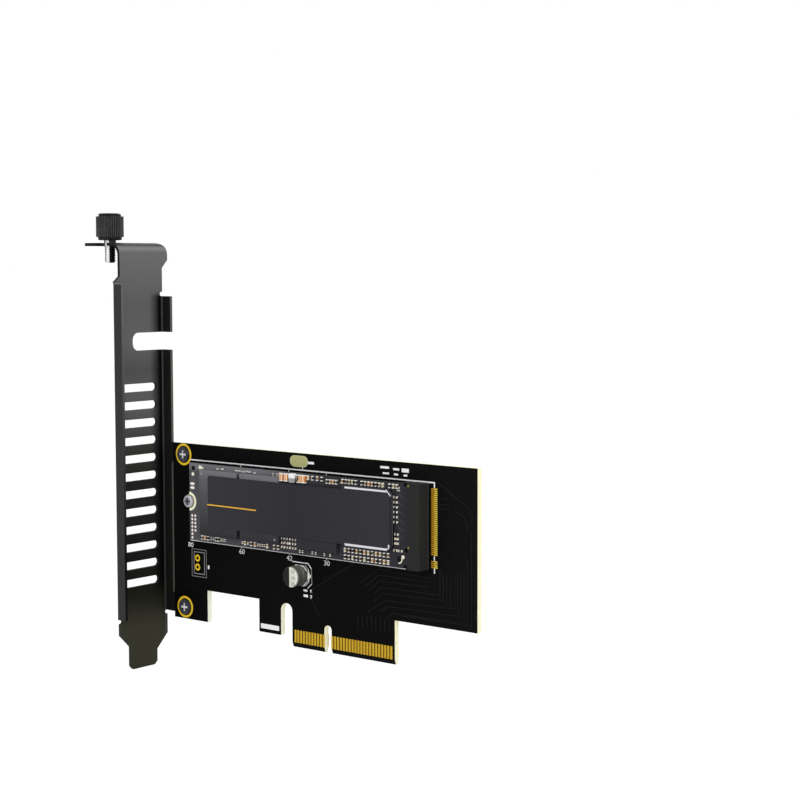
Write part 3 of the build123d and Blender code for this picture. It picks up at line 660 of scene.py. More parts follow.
inside = either(skin, looks_right, past(skin, "X", PLATE_INNER + 0.3))
coat = blend_colour(skin, inside, screen(50), colours_along(skin, "Z", PLATE_REFLECTION_TONES))
layers = (
    # the plate's shade towards the back fold
    (screen(5), (towards_fold, short_of(skin, "Z", BACK_FLANGE_TOP, 0.7), past(skin, "Z", 9.5, 2.5))),
    # painted shade on the front flange, a painted highlight on its cut upper end and painted shading on its
    # free edge
    (screen(54), (looks_front, at_front, short_of(skin, "Z", FRONT_FLANGE_TOP, 0.1))),
    (screen(122), (
        at_front, past(skin, "Z", FRONT_FLANGE_TOP - 0.05), short_of(skin, "Z", FRONT_FLANGE_TOP + 0.3),
    )),
    (colours_along(skin, "Z", CUT_EDGE_SHADING_TONES), (looks_right, short_of(skin, "Y", FRONT_FACE + 1.2), on_flanges)),
    # painted shade on the back flange, and painted highlights on the line of its fold and on its free edge
    (screen(31, 31, 30), (looks_front, past(skin, "Y", 0), off_plate)),
    (screen(74), (
        short_of(skin, "Z", BACK_FLANGE_TOP), past(skin, "Y", BACK_FLANGE - 0.3),
        off_plate, short_of(skin, "X", PLATE_INNER + 0.45),
    )),
    (screen(92, 92, 88), (looks_right, past(skin, "Y", 1), on_flanges)),
    # painted shade on the plate's cut side above the flanges
    (screen(24), (
        looks_front, past(skin, "Y", FRONT_FACE + 0.9),
        short_of(skin, "X", PLATE_INNER + 0.02), above_shoulder,
    )),
    # the tab, with painted light by facing: lighter where it faces up or down
    (blend_colour(skin, facing_either_way(skin, "Z"), screen(28), screen(44)),
     (short_of(skin, "X", PLATE_INNER - 1.2), above_shoulder)),
)
for tone, masks in layers:
    coat = blend_colour(skin, both(skin, *masks), coat, tone)
paint(skin, speckle(skin, coat, noise, 1.08))
dress("bracket", skin)
print("bracket top at mm:", round(BRACKET_TOP, 2), "with", len(layers), "layers of tone")

# %% [markdown]
# ### The knob
#
# The thumbscrew's knob is knurled and blackened. Its ridges are shapes of the solid, and their crests
# carry a painted highlight and the feet between them painted shade, which the distance from its axis
# tells apart.

# %% Knob
KNOB_MIDDLE = middle("thumbscrew_head")
KNOB_LEFT, KNOB_RIGHT = span("thumbscrew_head", 0)
KNOB_RADIUS = (KNOB_RIGHT - KNOB_LEFT) / 2
WEAR_SCALE = 700

skin = bare_finish("knob_black", screen(40), rough=0.4, specular=0.15)
grain(skin, 1500, 0.1, (0.32, 0.5))
# painted highlight on the ridges' crests and painted shade in the feet between them
crest = ramp_between(skin, distance_from(skin, KNOB_MIDDLE, "Z"), KNOB_RADIUS - 0.16, KNOB_RADIUS - 0.02)
ridge_highlight_and_shade = blend_colour(skin, crest, screen(16), screen(84))
paint(skin, speckle(skin, ridge_highlight_and_shade, noise_field(skin, WEAR_SCALE), 1.5))
dress("thumbscrew_head", skin)
print("knob radius in mm:", round(KNOB_RADIUS, 2))

# %% [markdown]
# ### Moulded parts
#
# Chips, socket and label are matt. The module lies in a soft sheen that is stronger at its held-down
# end and its upper edge, and it is painted, so the chips' tones run along the height as painted sheen.

# %% Socket
SOCKET_RIGHT = span("module_socket", 0)[1]
skin = bare_finish("socket_plastic", screen(41), rough=0.55, specular=0.06)
noise = grain(skin, 2500, 0.1)
lit_corner = both(skin, past(skin, "X", SOCKET_RIGHT - 0.1, 0.04), past(skin, "Y", BOARD_FRONT - 0.45, 0.04))
lit = blend_colour(skin, lit_corner, screen(41, 42, 41), screen(58, 64, 62))
paint(skin, speckle(skin, lit, noise, 1.1))
dress("module_socket", skin)

# %% Chips and coil
COIL_LOW, COIL_HIGH = span("module_coil", 2)
coil_step = (COIL_LOW + COIL_HIGH) / 2
# painted sheen along the memory chips' height
MEMORY_SHEEN_TONES = (
    (28.0, screen(50, 50, 53)), (37.0, screen(80, 80, 84)), (43.0, screen(98, 97, 102)),
    (45.8, screen(120, 119, 124)),
)
COIL_TONES = (
    (COIL_LOW, screen(158)), (coil_step - 0.1, screen(164)), (coil_step + 0.1, screen(250)),
    (COIL_HIGH, screen(255)),
)
for node, name, colour, tones in (
    ("memory_chips", "memory_plastic", screen(80), ("Z", MEMORY_SHEEN_TONES)),
    ("buffer_chip", "buffer_plastic", screen(51, 50, 55), None),
    ("module_coil", "coil_ceramic", screen(200), ("Z", COIL_TONES)),
):
    dress(node, plain_finish(name, colour, specular=0.06, strength=0.12, tones=tones))

# %% [markdown]
# ### The label
#
# A dark film lies over the chips. The bright shell of the fourth chip shows as a line along the film's
# lower edge and at its corner, where the film ends. The line is a change of colour on a flat film, so
# it is painted by place.

# %% Label
LABEL_TONES = ((-40.0, screen(56, 55, 60)), (-8.0, screen(48, 47, 53)), (25.0, screen(53, 53, 58)))
SHELL_LEFT, SHELL_RIGHT = span("processor_chip", 0)
LABEL_LOW = span("module_label", 2)[0]
LINE_START = SHELL_LEFT + 0.95
BRIGHT_METAL = screen(232, 231, 236)

skin = bare_finish("label_film", screen(50), specular=0.06)
noise = grain(skin, 1200, 0.08)
film = speckle(skin, colours_along(skin, "X", LABEL_TONES), noise, 1.1)
shell_line = both(skin, short_of(skin, "Z", LABEL_LOW + 0.3, 0.04), past(skin, "X", LINE_START, 0.05))
corner_start = past(skin, "X", SHELL_RIGHT - 0.8, 0.05)
shell_corner = both(skin, short_of(skin, "Z", LABEL_LOW + 1.3, 0.04), corner_start)
paint(skin, blend_colour(skin, either(skin, shell_line, shell_corner), film, BRIGHT_METAL))
dress("module_label", skin)

# %% [markdown]
# ### Small soldered parts
#
# Resistors are black and capacitors are brown or cream, in no order that the eye can follow. A cell
# pattern gives each part a colour of its own kind. The larger capacitors next to the coil are
# striped where their ends meet their bodies.

# %% Small parts
PART_CELL = 1.1
PART_KINDS = (
    (0.0, screen(34, 32, 34)), (0.34, screen(74, 66, 58)), (0.52, screen(196, 146, 92)),
    (0.72, screen(120, 100, 84)), (0.86, screen(200, 186, 150)),
)
STRIPED_FROM_Z = 43.5
STRIPED_X = ((-13.4, -7.8), (-6.6, -2.3))
STRIPE_HALF_PITCH = 0.42

small_parts = skin = bare_finish("small_part_ceramic", screen(120, 96, 72), rough=0.45, specular=0.2)
grain(skin, 2500, 0.1)
cells = skin.add("ShaderNodeTexVoronoi", feature="F1")
cells.inputs["Scale"].default_value = 1 / (PART_CELL * MM)
cells.inputs["Randomness"].default_value = 0.3
skin.join(on_piece(skin), cells.inputs["Vector"])
lot = skin.add("ShaderNodeSeparateColor")
skin.join(cells.outputs["Color"], lot.inputs[0])
kinds = gradient(skin, lot.outputs[0], PART_KINDS, "CONSTANT")
pairs = [both(skin, past(skin, "X", low, 0.1), short_of(skin, "X", high, 0.1)) for low, high in STRIPED_X]
by_coil = both(skin, past(skin, "Z", STRIPED_FROM_Z, 0.1), either(skin, *pairs))
wave = maths(skin, "PINGPONG", place_along(skin, "X"), STRIPE_HALF_PITCH)
body = ramp_between(skin, wave, 0.16, 0.24)
striped = blend_colour(skin, body, screen(250, 226, 196), screen(222, 148, 84))
paint(skin, blend_colour(skin, by_coil, kinds, striped))
dress("small_part_bodies", skin)

# %% [markdown]
# ### The controller's shell
#
# The fourth chip wears a bright metal shell. The label covers nearly all of it, so only a thin line
# shows along its upper and lower edges and at its broken corners. Its right wall stands in shade.

# %% Shell
SHELL_LOW, SHELL_HIGH = span("processor_chip", 2)
SHELL_FRONT = span("processor_chip", 1)[0]
UPPER_LINE_Z = (SHELL_HIGH - 0.78, SHELL_HIGH - 0.3)
LOWER_LINE_Z = SHELL_LOW + 0.7
CORNER_SUM = SHELL_RIGHT + SHELL_HIGH - 1.82
SEAM_DEPTH = (0.45, 0.8)

skin = bare_finish("processor_shell", screen(60), rough=0.4, metal=0.1)
grain(skin, 1500, 0.06)
line_start = past(skin, "X", LINE_START, 0.05)
upper_line = both(
    skin, line_start, past(skin, "Z", UPPER_LINE_Z[0], 0.05), short_of(skin, "Z", UPPER_LINE_Z[1], 0.05),
    short_of(skin, "X", SHELL_RIGHT - 1.3, 0.1),
)
lower_line = both(skin, line_start, short_of(skin, "Z", LOWER_LINE_Z, 0.05))
outward = maths(skin, "ADD", place_along(skin, "X"), place_along(skin, "Z"))
corner_line = both(
    skin, ramp_between(skin, outward, CORNER_SUM - 0.1, CORNER_SUM + 0.1),
    past(skin, "X", SHELL_RIGHT - 1.5, 0.1),
)
front = facing(skin, "Y", -1)
bright = both(skin, either(skin, upper_line, lower_line, corner_line), front)
seam = both(
    skin, past(skin, "Y", SHELL_FRONT + SEAM_DEPTH[0], 0.04),
    short_of(skin, "Y", SHELL_FRONT + SEAM_DEPTH[1], 0.04),
)
wall = blend_colour(skin, seam, screen(8), screen(112))
plain = blend_colour(skin, front, wall, screen(54, 53, 58))
paint(skin, blend_colour(skin, bright, plain, BRIGHT_METAL))
dress("processor_chip", skin)

# %% [markdown]
# ### The can
#
# The top of the can is bare metal with a dark segment that marks one pole, and its wall is dull, with
# painted shading that is lighter where it faces up. The segment is a colour and not a shape, so it is
# part of the material. The base under it is black, with a pale edge at its top and its two broken
# corners, and a pale foot on its right wall.

# %% Can
CAN_MIDDLE = middle("capacitor_can")
CAN_FACE = span("capacitor_can", 1)[0]
SEGMENT_EDGE = -9.62
CAN_RIM = 2.28
# painted shading on the can's wall, darker low and lighter high
CAN_WALL_SHADING = ((16.9, screen(66, 66, 61)), (19.7, screen(95, 96, 89)), (22.5, screen(122, 123, 114)))

skin = bare_finish("can_skin", screen(220), rough=0.4, metal=0.15, specular=0.2)
noise = grain(skin, 1500, 0.04)
on_top = both(skin, facing(skin, "Y", -1), short_of(skin, "Y", CAN_FACE + 0.5, 0.1))
rim = ramp_between(skin, distance_from(skin, CAN_MIDDLE, "Y"), CAN_RIM - 0.1, CAN_RIM + 0.1)
top_colour = blend_colour(skin, rim, screen(228, 229, 216), screen(250, 250, 238))
top_colour = blend_colour(skin, short_of(skin, "X", SEGMENT_EDGE, 0.12), top_colour, screen(24, 24, 25))
wall = colours_along(skin, "Z", CAN_WALL_SHADING)
paint(skin, blend_colour(skin, on_top, wall, speckle(skin, top_colour, noise, 1.05)))
dress("capacitor_can", skin)
print("can's top at y =", round(CAN_FACE, 2), "mm")

# %% Base
BASE_RIGHT = span("capacitor_base", 0)[1]
BASE_LOW, BASE_TOP = span("capacitor_base", 2)
BASE_BAND = 0.3
BASE_CORNER = 1.1
BAND_FADE = 0.2
FOOT_DEPTH = -1.35
CAN_SHADE = (3.05, 2.95)

skin = bare_finish("can_base_plastic", screen(20), specular=0.05)
grain(skin, 1500, 0.06)
along = place_along(skin, "X")
upward = place_along(skin, "Z")
corners = []
for kind, edge in (("ADD", BASE_RIGHT + BASE_TOP), ("SUBTRACT", BASE_RIGHT - BASE_LOW)):
    band_start = edge - BASE_CORNER - BASE_BAND
    corners.append(ramp_between(skin, maths(skin, kind, along, upward), band_start - BAND_FADE, band_start))
at_top = both(skin, past(skin, "Z", BASE_TOP - BASE_BAND, 0.05), past(skin, "X", CAN_MIDDLE[0] - 1.3, 0.1))
front = facing(skin, "Y", -1)
right_wall = facing(skin, "X", 1)
band = both(skin, front, either(skin, *corners, at_top))
foot = both(skin, right_wall, past(skin, "Y", FOOT_DEPTH, 0.08))
shade = ramp_between(skin, distance_from(skin, CAN_MIDDLE, "Y"), *CAN_SHADE)
dull = blend_colour(skin, both(skin, either(skin, front, right_wall), shade), screen(14), screen(96, 96, 90))
paint(skin, blend_colour(skin, either(skin, band, foot), dull, screen(255)))
dress("capacitor_base", skin)


# %% [markdown]
# ## Print on the board
#
# Legends are a thin layer of white ink. They could be a picture, but thin strips of real geometry stay
# sharp at any distance. A strip follows a line with mitred corners, and has a thickness of its own, so
# it is written here as a small mesh function: a curve's own bevel would thin out at the corners.

# %% Strip maker
SHARPEST_MITRE = 0.3


def strip_into(mesh, points, width, face, rise, closed=False):
    """Adds a strip along points (x, z in mm) that stands out of the plane y=face by rise."""
    count = len(points)
    rows = []
    for i, (x, z) in enumerate(points):
        before = Vector(points[i - 1]) if closed or i else None
        after = Vector(points[(i + 1) % count]) if closed or i < count - 1 else None
        here = Vector((x, z))
        first = (here - before).normalized() if before is not None else None
        second = (after - here).normalized() if after is not None else None
        first = first or second
        second = second or first
        across = Vector((-first.y, first.x)) + Vector((-second.y, second.x))
        across.normalize()
        cosine = max(SHARPEST_MITRE, across.dot(Vector((-first.y, first.x))))
        offset = across * (width / 2 / cosine)
        ring = []
        for side, level in ((1, 0), (1, rise), (-1, rise), (-1, 0)):
            spot = here + offset * side
            ring.append(mesh.verts.new((spot.x * MM, (face - level) * MM, spot.y * MM)))
        rows.append(ring)
    last = count if closed else count - 1
    for i in range(last):
        a, b = rows[i], rows[(i + 1) % count]
        for k in range(4):
            mesh.faces.new((a[k], a[(k + 1) % 4], b[(k + 1) % 4], b[k]))
    if not closed:
        mesh.faces.new(rows[0])
        mesh.faces.new(list(reversed(rows[-1])))


def finish_piece(mesh, name, skin, slot_name):
    """Turns a bmesh into a piece of the card with outward faces."""
    bmesh.ops.recalc_face_normals(mesh, faces=mesh.faces)
    data = bpy.data.meshes.new(name)
    mesh.to_mesh(data)
    mesh.free()
    data.materials.append(skin.material)
    return place_piece(name, data, slot_name)


def place_piece(name, data, slot_name):
    """Shows a finished mesh as a piece that rides on the card."""
    piece = bpy.data.objects.new(name, data)
    bpy.context.scene.collection.objects.link(piece)
    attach(piece, "root")
    print(name, "has", len(data.polygons), "faces")
    return piece


def arc(cx, cz, radius, start, stop, steps=16):
    """Points of an arc, angles in degrees."""
    angles = [math.radians(start + (stop - start) * i / steps) for i in range(steps + 1)]
    return [(cx + radius * math.cos(angle), cz + radius * math.sin(angle)) for angle in angles]


# %% Ink
INK_RISE = 0.02
white_ink = plain_finish("white_ink", screen(252, 252, 254), rough=0.6, scale=3000, strength=0.1, gain=1.04)
thin_ink = plain_finish("thin_ink", screen(140), rough=0.6, scale=3000, strength=0.1, gain=1.15)


def ink_line(mesh, points, width, closed=False):
    """Adds a strip of ink on the board's front face."""
    strip_into(mesh, points, width, BOARD_FRONT, INK_RISE, closed)


# %% Outlines
UPPER_LINE = 0.34
LOWER_LINE = 0.24
TICK_LINE = 0.2
TICK_LENGTH = {"upper": 0.82, "lower": 0.5}
OUTLINE_LEFT = -51.0
OUTLINE_TOP = 47.72
OUTLINE_LOW = 25.1
OUTLINE_RIGHT = 35.45
LOWER_LINE_END = 26.24
UPPER_CORNER_FOOT = 46.4
RIGHT_PIECES = ((28.1, 29.3), (24.9, 26.2))
LENGTH_TICKS = (-31.25, -13.53, -0.30)
PAD_TICK = -8.66
PAD_TICK_TOP = 48.5

upper_path = [(OUTLINE_LEFT, OUTLINE_TOP), (OUTLINE_RIGHT, OUTLINE_TOP), (OUTLINE_RIGHT, UPPER_CORNER_FOOT)]
outlines = bmesh.new()
ink_line(outlines, upper_path, UPPER_LINE)
ink_line(outlines, [(OUTLINE_LEFT, OUTLINE_LOW), (LOWER_LINE_END, OUTLINE_LOW)], LOWER_LINE)
for low, high in RIGHT_PIECES:
    ink_line(outlines, [(OUTLINE_RIGHT, low), (OUTLINE_RIGHT, high)], UPPER_LINE)
for x in LENGTH_TICKS:
    ink_line(outlines, [(x, OUTLINE_TOP), (x, OUTLINE_TOP - TICK_LENGTH["upper"])], TICK_LINE)
    ink_line(outlines, [(x, OUTLINE_LOW), (x, OUTLINE_LOW - TICK_LENGTH["lower"])], TICK_LINE)
ink_line(outlines, [(PAD_TICK, OUTLINE_TOP), (PAD_TICK, PAD_TICK_TOP)], 0.25)
finish_piece(outlines, "printed_outline", white_ink, "board")

# %% Can's outline and ring
CAN_RING = (2.93, -36, 36)
CAN_CORNERS = ((-12.5, 23.02), (-6.95, 23.02), (-5.72, 21.7), (-5.6, 17.7), (-7.1, 16.35))

can_lines = bmesh.new()
ink_line(can_lines, CAN_CORNERS[:3], 0.28)
ink_line(can_lines, CAN_CORNERS[3:], 0.2)
ink_line(can_lines, arc(CAN_MIDDLE[0], CAN_MIDDLE[2], *CAN_RING), 0.26)
finish_piece(can_lines, "printed_can_outline", white_ink, "board")

# %% Thin lines and header boxes
HEADER_BOXES = ((-50.5, -44.85, 15.05, 22.7, 0.16), (-49.65, -45.6, 15.85, 21.95, 0.24))

thin_lines = bmesh.new()
ink_line(thin_lines, CAN_CORNERS[2:4], 0.3)
for left, right_side, low, high, width in HEADER_BOXES:
    box = [(left, low), (right_side, low), (right_side, high), (left, high)]
    ink_line(thin_lines, box, width, closed=True)
finish_piece(thin_lines, "printed_thin_lines", thin_ink, "board")

# %% [markdown]
# ### Bars and numbers
#
# Small legends are plain bars, and the lengths along the outline are plain numbers. Blender's text is
# a curve, so it is turned into a mesh first and then stood up against the board.

# %% Bars
BARS = (
    (-6.95, -4.6, 49.5, 50.15), (18.0, 20.9, 50.15, 50.75), (22.2, 24.2, 49.95, 50.5),
    (25.0, 27.3, 49.6, 50.6), (18.8, 20.9, 48.75, 49.2), (22.5, 23.8, 48.65, 49.15),
    (25.6, 26.8, 48.6, 49.1), (-8.55, -7.2, 15.45, 16.0), (-6.15, -5.6, 15.35, 16.1),
    (-8.55, -7.0, 13.95, 14.65), (-6.2, -5.6, 13.75, 14.7), (-24.2, -17.5, 3.6, 4.9),
    (-44.3, -43.7, 17.6, 18.6),
)

bars = bmesh.new()
for left, right_side, low, high in BARS:
    level = (low + high) / 2
    ink_line(bars, [(left, level), (right_side, level)], high - low)
finish_piece(bars, "printed_bars", white_ink, "board")


# %% Number maker
FIGURE_SHARE = 0.72


def plain_number(text, x, z, height, name, face, skin, slot_name, stretch=1.0):
    """A plain number in ink, centred on a point of a face that looks along -Y."""
    curve = bpy.data.curves.new(name, "FONT")
    curve.body = text
    curve.size = height / FIGURE_SHARE * MM
    curve.extrude = INK_RISE / 2 * MM
    curve.align_x = "CENTER"
    curve.align_y = "CENTER"
    curve.resolution_u = 3
    word = bpy.data.objects.new(name, curve)
    bpy.context.scene.collection.objects.link(word)
    data = bpy.data.meshes.new_from_object(word.evaluated_get(bpy.context.evaluated_depsgraph_get()))
    bpy.data.objects.remove(word)
    stand = Matrix.Rotation(math.radians(90), 4, "X") @ Matrix.Diagonal((stretch, 1, 1, 1))
    data.transform(Matrix.Translation((x * MM, (face - INK_RISE / 2) * MM, z * MM)) @ stand)
    data.materials.clear()
    data.materials.append(skin.material)
    return place_piece(name, data, slot_name)


# %% Numbers
LENGTH_NUMBERS = (("80", -50.9), ("60", -31.1), ("42", -13.5), ("30", -0.3))
LENGTH_LEVEL = 23.75
LENGTH_HEIGHT = 1.35
CAN_NUMBERS = (("22", 21.3), ("16", 19.6), ("35", 17.9))
CAN_NUMBER_X = -8.35
CAN_NUMBER_HEIGHT = 0.95

for text, x in LENGTH_NUMBERS:
    name = "length_" + text
    plain_number(text, x, LENGTH_LEVEL, LENGTH_HEIGHT, name, BOARD_FRONT, white_ink, "board", 1.15)
can_ink = bare_finish("can_ink", screen(96), rough=0.6)
grain(can_ink, 3000, 0.1)
for text, z in CAN_NUMBERS:
    name = "can_number_" + text
    plain_number(text, CAN_NUMBER_X, z, CAN_NUMBER_HEIGHT, name, CAN_FACE, can_ink, "can_aluminium")

# %% Label stripe
LABEL_FRONT = span("module_label", 1)[0]
STRIPE = ((-39.9, 36.45), (-21.5, 36.4))
STRIPE_WIDTH = 0.32

stripe_ink = plain_finish("stripe_ink", screen(244, 188, 66), scale=3000, strength=0.1, gain=1.08)
stripe = bmesh.new()
strip_into(stripe, STRIPE, STRIPE_WIDTH, LABEL_FRONT, INK_RISE)
finish_piece(stripe, "label_stripe", stripe_ink, "label_film")


# %% [markdown]
# ## What repeats
#
# Copper traces under the lacquer, test dots, tiny parts and the screw's thread each repeat one form.
# Geometry Nodes fit this: a tree is built once with its sizes as named inputs, a few points or lines
# say where the form goes, and the result is turned into a plain mesh.

# %% Tree maker
def start_tree(name, sizes):
    """A new tree with a geometry, some sizes in metres and a material as inputs."""
    tree = bpy.data.node_groups.new(name, "GeometryNodeTree")
    tree.interface.new_socket("Geometry", in_out="INPUT", socket_type="NodeSocketGeometry")
    for label in sizes:
        tree.interface.new_socket(label, in_out="INPUT", socket_type="NodeSocketFloat")
    tree.interface.new_socket("Material", in_out="INPUT", socket_type="NodeSocketMaterial")
    tree.interface.new_socket("Geometry", in_out="OUTPUT", socket_type="NodeSocketGeometry")
    add, join = node_maker(tree)
    return tree, SimpleNamespace(add=add, join=join), add("NodeGroupInput")


def end_tree(nodes, geometry, given):
    """Realizes instances, sets the material and ends the tree."""
    add, join = nodes.add, nodes.join
    real = add("GeometryNodeRealizeInstances")
    join(geometry, real.inputs[0])
    paint = add("GeometryNodeSetMaterial")
    join(real.outputs[0], paint.inputs["Geometry"])
    join(given.outputs["Material"], paint.inputs["Material"])
    join(paint.outputs[0], add("NodeGroupOutput").inputs[0])


def grow(tree, base, name, slot_name, values):
    """Runs a tree on a base mesh and shows the result as a plain mesh."""
    host = bpy.data.objects.new(name + "_host", base)
    bpy.context.scene.collection.objects.link(host)
    modifier = host.modifiers.new("grow", "NODES")
    modifier.node_group = tree
    for item in tree.interface.items_tree:
        if item.in_out == "INPUT" and item.name in values:
            modifier[item.identifier] = values[item.name]
    graph = bpy.context.evaluated_depsgraph_get()
    data = bpy.data.meshes.new_from_object(host.evaluated_get(graph), depsgraph=graph)
    host.modifiers.clear()
    bpy.data.objects.remove(host)
    return place_piece(name, data, slot_name)


def line_mesh(name, lines, face):
    """A mesh of bare edges: each line is a list of points (x, z in mm) in the plane y=face."""
    points, edges = [], []
    for line in lines:
        start = len(points)
        points += [(x * MM, face * MM, z * MM) for x, z in line]
        edges += [(start + i, start + i + 1) for i in range(len(line) - 1)]
    data = bpy.data.meshes.new(name)
    data.from_pydata(points, edges, [])
    return data


def point_mesh(name, points, face):
    """A mesh of bare points (x, z in mm) in the plane y=face."""
    return line_mesh(name, [[point] for point in points], face)


# %% [markdown]
# ### Traces
#
# Under the black lacquer the copper lines stand out by a hair and catch a little light. Each line is
# a bare edge, and the tree sweeps a six-sided profile along it.

# %% Trace tree
TRACE_SIDES = 6

trace_tree, nodes, given = start_tree("trace_tree", ("Width",))
add, join = nodes.add, nodes.join
wire = add("GeometryNodeMeshToCurve")
join(given.outputs["Geometry"], wire.inputs[0])
profile = add("GeometryNodeCurvePrimitiveCircle")
profile.inputs["Resolution"].default_value = TRACE_SIDES
join(maths(nodes, "MULTIPLY", given.outputs["Width"], 0.5), profile.inputs["Radius"])
sweep = add("GeometryNodeCurveToMesh")
sweep.inputs["Fill Caps"].default_value = True
join(wire.outputs[0], sweep.inputs["Curve"])
join(profile.outputs[0], sweep.inputs["Profile Curve"])
end_tree(nodes, sweep.outputs[0], given)

# %% Trace lines
TRACE_WIDTH = 0.26
TRACE_LINES = (
    ((11.7, 20.2), (17.2, 24.1), (34.3, 23.7)), ((12.8, 19.1), (17.5, 22.6), (33.7, 22.6)),
    ((14.4, 18.4), (17.8, 21.1), (33.4, 21.3)), ((15.8, 17.7), (18.4, 19.5), (37.2, 19.7)),
    ((15.8, 15.7), (19.0, 18.1), (39.4, 18.4), (39.4, 25.3)),
    ((13.3, 12.4), (19.4, 16.2), (41.9, 16.8), (41.9, 25.5)),
    ((18.0, 13.2), (20.5, 14.8), (43.7, 15.1), (43.7, 25.7)),
    ((20.0, 11.9), (21.9, 13.25), (45.7, 13.5), (45.7, 29.4)),
    ((24.3, 12.95), (47.0, 13.1), (47.0, 37.0)), ((37.2, 19.7), (37.2, 26.0)), ((38.3, 18.6), (38.3, 25.1)),
    ((40.6, 17.6), (40.6, 25.4)), ((42.8, 16.1), (42.8, 25.6)), ((44.7, 14.6), (44.7, 26.8)),
    ((36.3, 48.0), (47.1, 41.6), (47.1, 38.2)), ((42.2, 41.2), (44.9, 39.6), (45.9, 36.9)),
    ((37.2, 44.0), (39.7, 44.0)), ((37.2, 42.5), (39.7, 42.5)), ((37.2, 41.4), (39.4, 41.4)),
    ((9.1, 24.4), (5.3, 22.2)), ((8.7, 24.8), (-5.2, 16.4), (-6.3, 14.7), (-2.8, 9.2)),
)
STRIPES = 8
STRIPE_START = 10.4
STRIPE_PITCH = 1.5
STRIPE_Z = (8.0, 11.6)

# %% Board traces
trace_look = {"rough": 0.45, "scale": 1200, "strength": 0.05, "gain": 1.2}
trace_skin = plain_finish("trace_skin", screen(33, 33, 34), specular=0.03, **trace_look)
traces = list(TRACE_LINES)
for number in range(STRIPES):
    x = STRIPE_START + STRIPE_PITCH * number
    traces.append([(x, z) for z in STRIPE_Z])
sizes = {"Width": TRACE_WIDTH * MM, "Material": trace_skin.material}
grow(trace_tree, line_mesh("trace_lines", traces, BOARD_FRONT), "board_traces", "board", sizes)

# %% Module traces
CURVES = 6
CURVE_TOP = 44.5
CURVE_PITCH = 2.1
CURVE_DROP = 0.9
CURVE_START = 25.9
CURVE_RATE = 0.8
CURVE_X = (26.2, 26.8, 27.4, 28.0)
FINE_TRACE_WIDTH = 0.22

fine_skin = plain_finish("module_trace_skin", screen(84, 83, 89), specular=0.05, **trace_look)
curved = []
for number in range(CURVES):
    top = CURVE_TOP - CURVE_PITCH * number
    curved.append([(x, top - CURVE_DROP * (1 - math.cos((x - CURVE_START) * CURVE_RATE))) for x in CURVE_X])
sizes = {"Width": FINE_TRACE_WIDTH * MM, "Material": fine_skin.material}
base = line_mesh("module_trace_lines", curved, MODULE_FRONT)
grow(trace_tree, base, "module_traces", "module_board", sizes)

# %% [markdown]
# ### Dots and pads
#
# Test dots are low round discs, and soldered pads are low ovals. Points say where they sit, and the
# tree puts one disc of few sides on each. A pad is the same disc, drawn out sideways.

# %% Dot tree
DOT_SIDES = 12

dot_tree, nodes, given = start_tree("dot_tree", ("Radius", "Stretch", "Rise"))
add, join = nodes.add, nodes.join
disc = add("GeometryNodeMeshCylinder")
disc.inputs["Vertices"].default_value = DOT_SIDES
disc.inputs["Radius"].default_value = 1.0
disc.inputs["Depth"].default_value = 2.0
size = add("ShaderNodeCombineXYZ")
join(maths(nodes, "MULTIPLY", given.outputs["Radius"], given.outputs["Stretch"]), size.inputs["X"])
join(given.outputs["Radius"], size.inputs["Y"])
join(given.outputs["Rise"], size.inputs["Z"])
copies = add("GeometryNodeInstanceOnPoints")
join(given.outputs["Geometry"], copies.inputs["Points"])
join(disc.outputs["Mesh"], copies.inputs["Instance"])
copies.inputs["Rotation"].default_value = (math.radians(90), 0, 0)
join(size.outputs[0], copies.inputs["Scale"])
end_tree(nodes, copies.outputs[0], given)


# %% Finishes of the dots
cream = plain_finish("cream_pad", screen(255, 248, 226))
rosy = plain_finish("rosy_pad", screen(255, 246, 238))
dim_gold = plain_finish("dim_gold", screen(150, 126, 56), metal=0.1)
hole_black = plain_finish("dark_hole", screen(6))
ring_grey = plain_finish("ring_grey", screen(128, 127, 132))
chip_dot = plain_finish("chip_dot", screen(172, 171, 176))

# %% Dots
DOT_RISE = 0.03
CHIP_FRONT = span("memory_chips", 1)[0]
SOCKET_FRONT = span("module_socket", 1)[0]
DOT_TOP = 32.7
DOT_PITCH = 1.02
TEST_DOTS = [(x, DOT_TOP - DOT_PITCH * i) for x, count in ((-47.05, 7), (-45.85, 5)) for i in range(count)]
HOLE_FACE = MODULE_FRONT - DOT_RISE

# name, points, face, radius, stretch, finish and slot
DOT_GROUPS = (
    ("module_test_dots", TEST_DOTS, MODULE_FRONT, 0.36, 1.0, rosy, "gold"),
    ("module_cream_pads", [(-46.85, 41.55), (-46.85, 40.45)], MODULE_FRONT, 0.4, 2.2, rosy, "gold"),
    ("module_cream_dots", [(-46.6, 44.25), (27.9, 28.65)], MODULE_FRONT, 0.5, 1.0, cream, "gold"),
    ("module_hole_rings", [(-46.4, 45.92)], MODULE_FRONT, 0.86, 1.0, ring_grey, "module_board"),
    ("module_holes", [(-46.4, 45.92), (26.55, 28.1)], HOLE_FACE, 0.7, 1.0, hole_black, "module_board"),
    ("chip_dots", [(-42.15, 44.75), (-14.95, 29.1)], CHIP_FRONT, 0.24, 1.0, chip_dot, "chip_plastic"),
    ("socket_corner_dots", [(30.45, 46.9), (30.5, 31.4)], SOCKET_FRONT, 0.28, 1.0, dim_gold, "gold"),
)
for name, points, face, radius, stretch, skin, slot_name in DOT_GROUPS:
    sizes = {"Radius": radius * MM, "Stretch": stretch, "Rise": DOT_RISE * MM, "Material": skin.material}
    grow(dot_tree, point_mesh(name + "_points", points, face), name, slot_name, sizes)

# %% Crescent and arrow
ARROW = ((-44.3, 46.35), (-43.3, 46.3), (-42.5, 46.15))

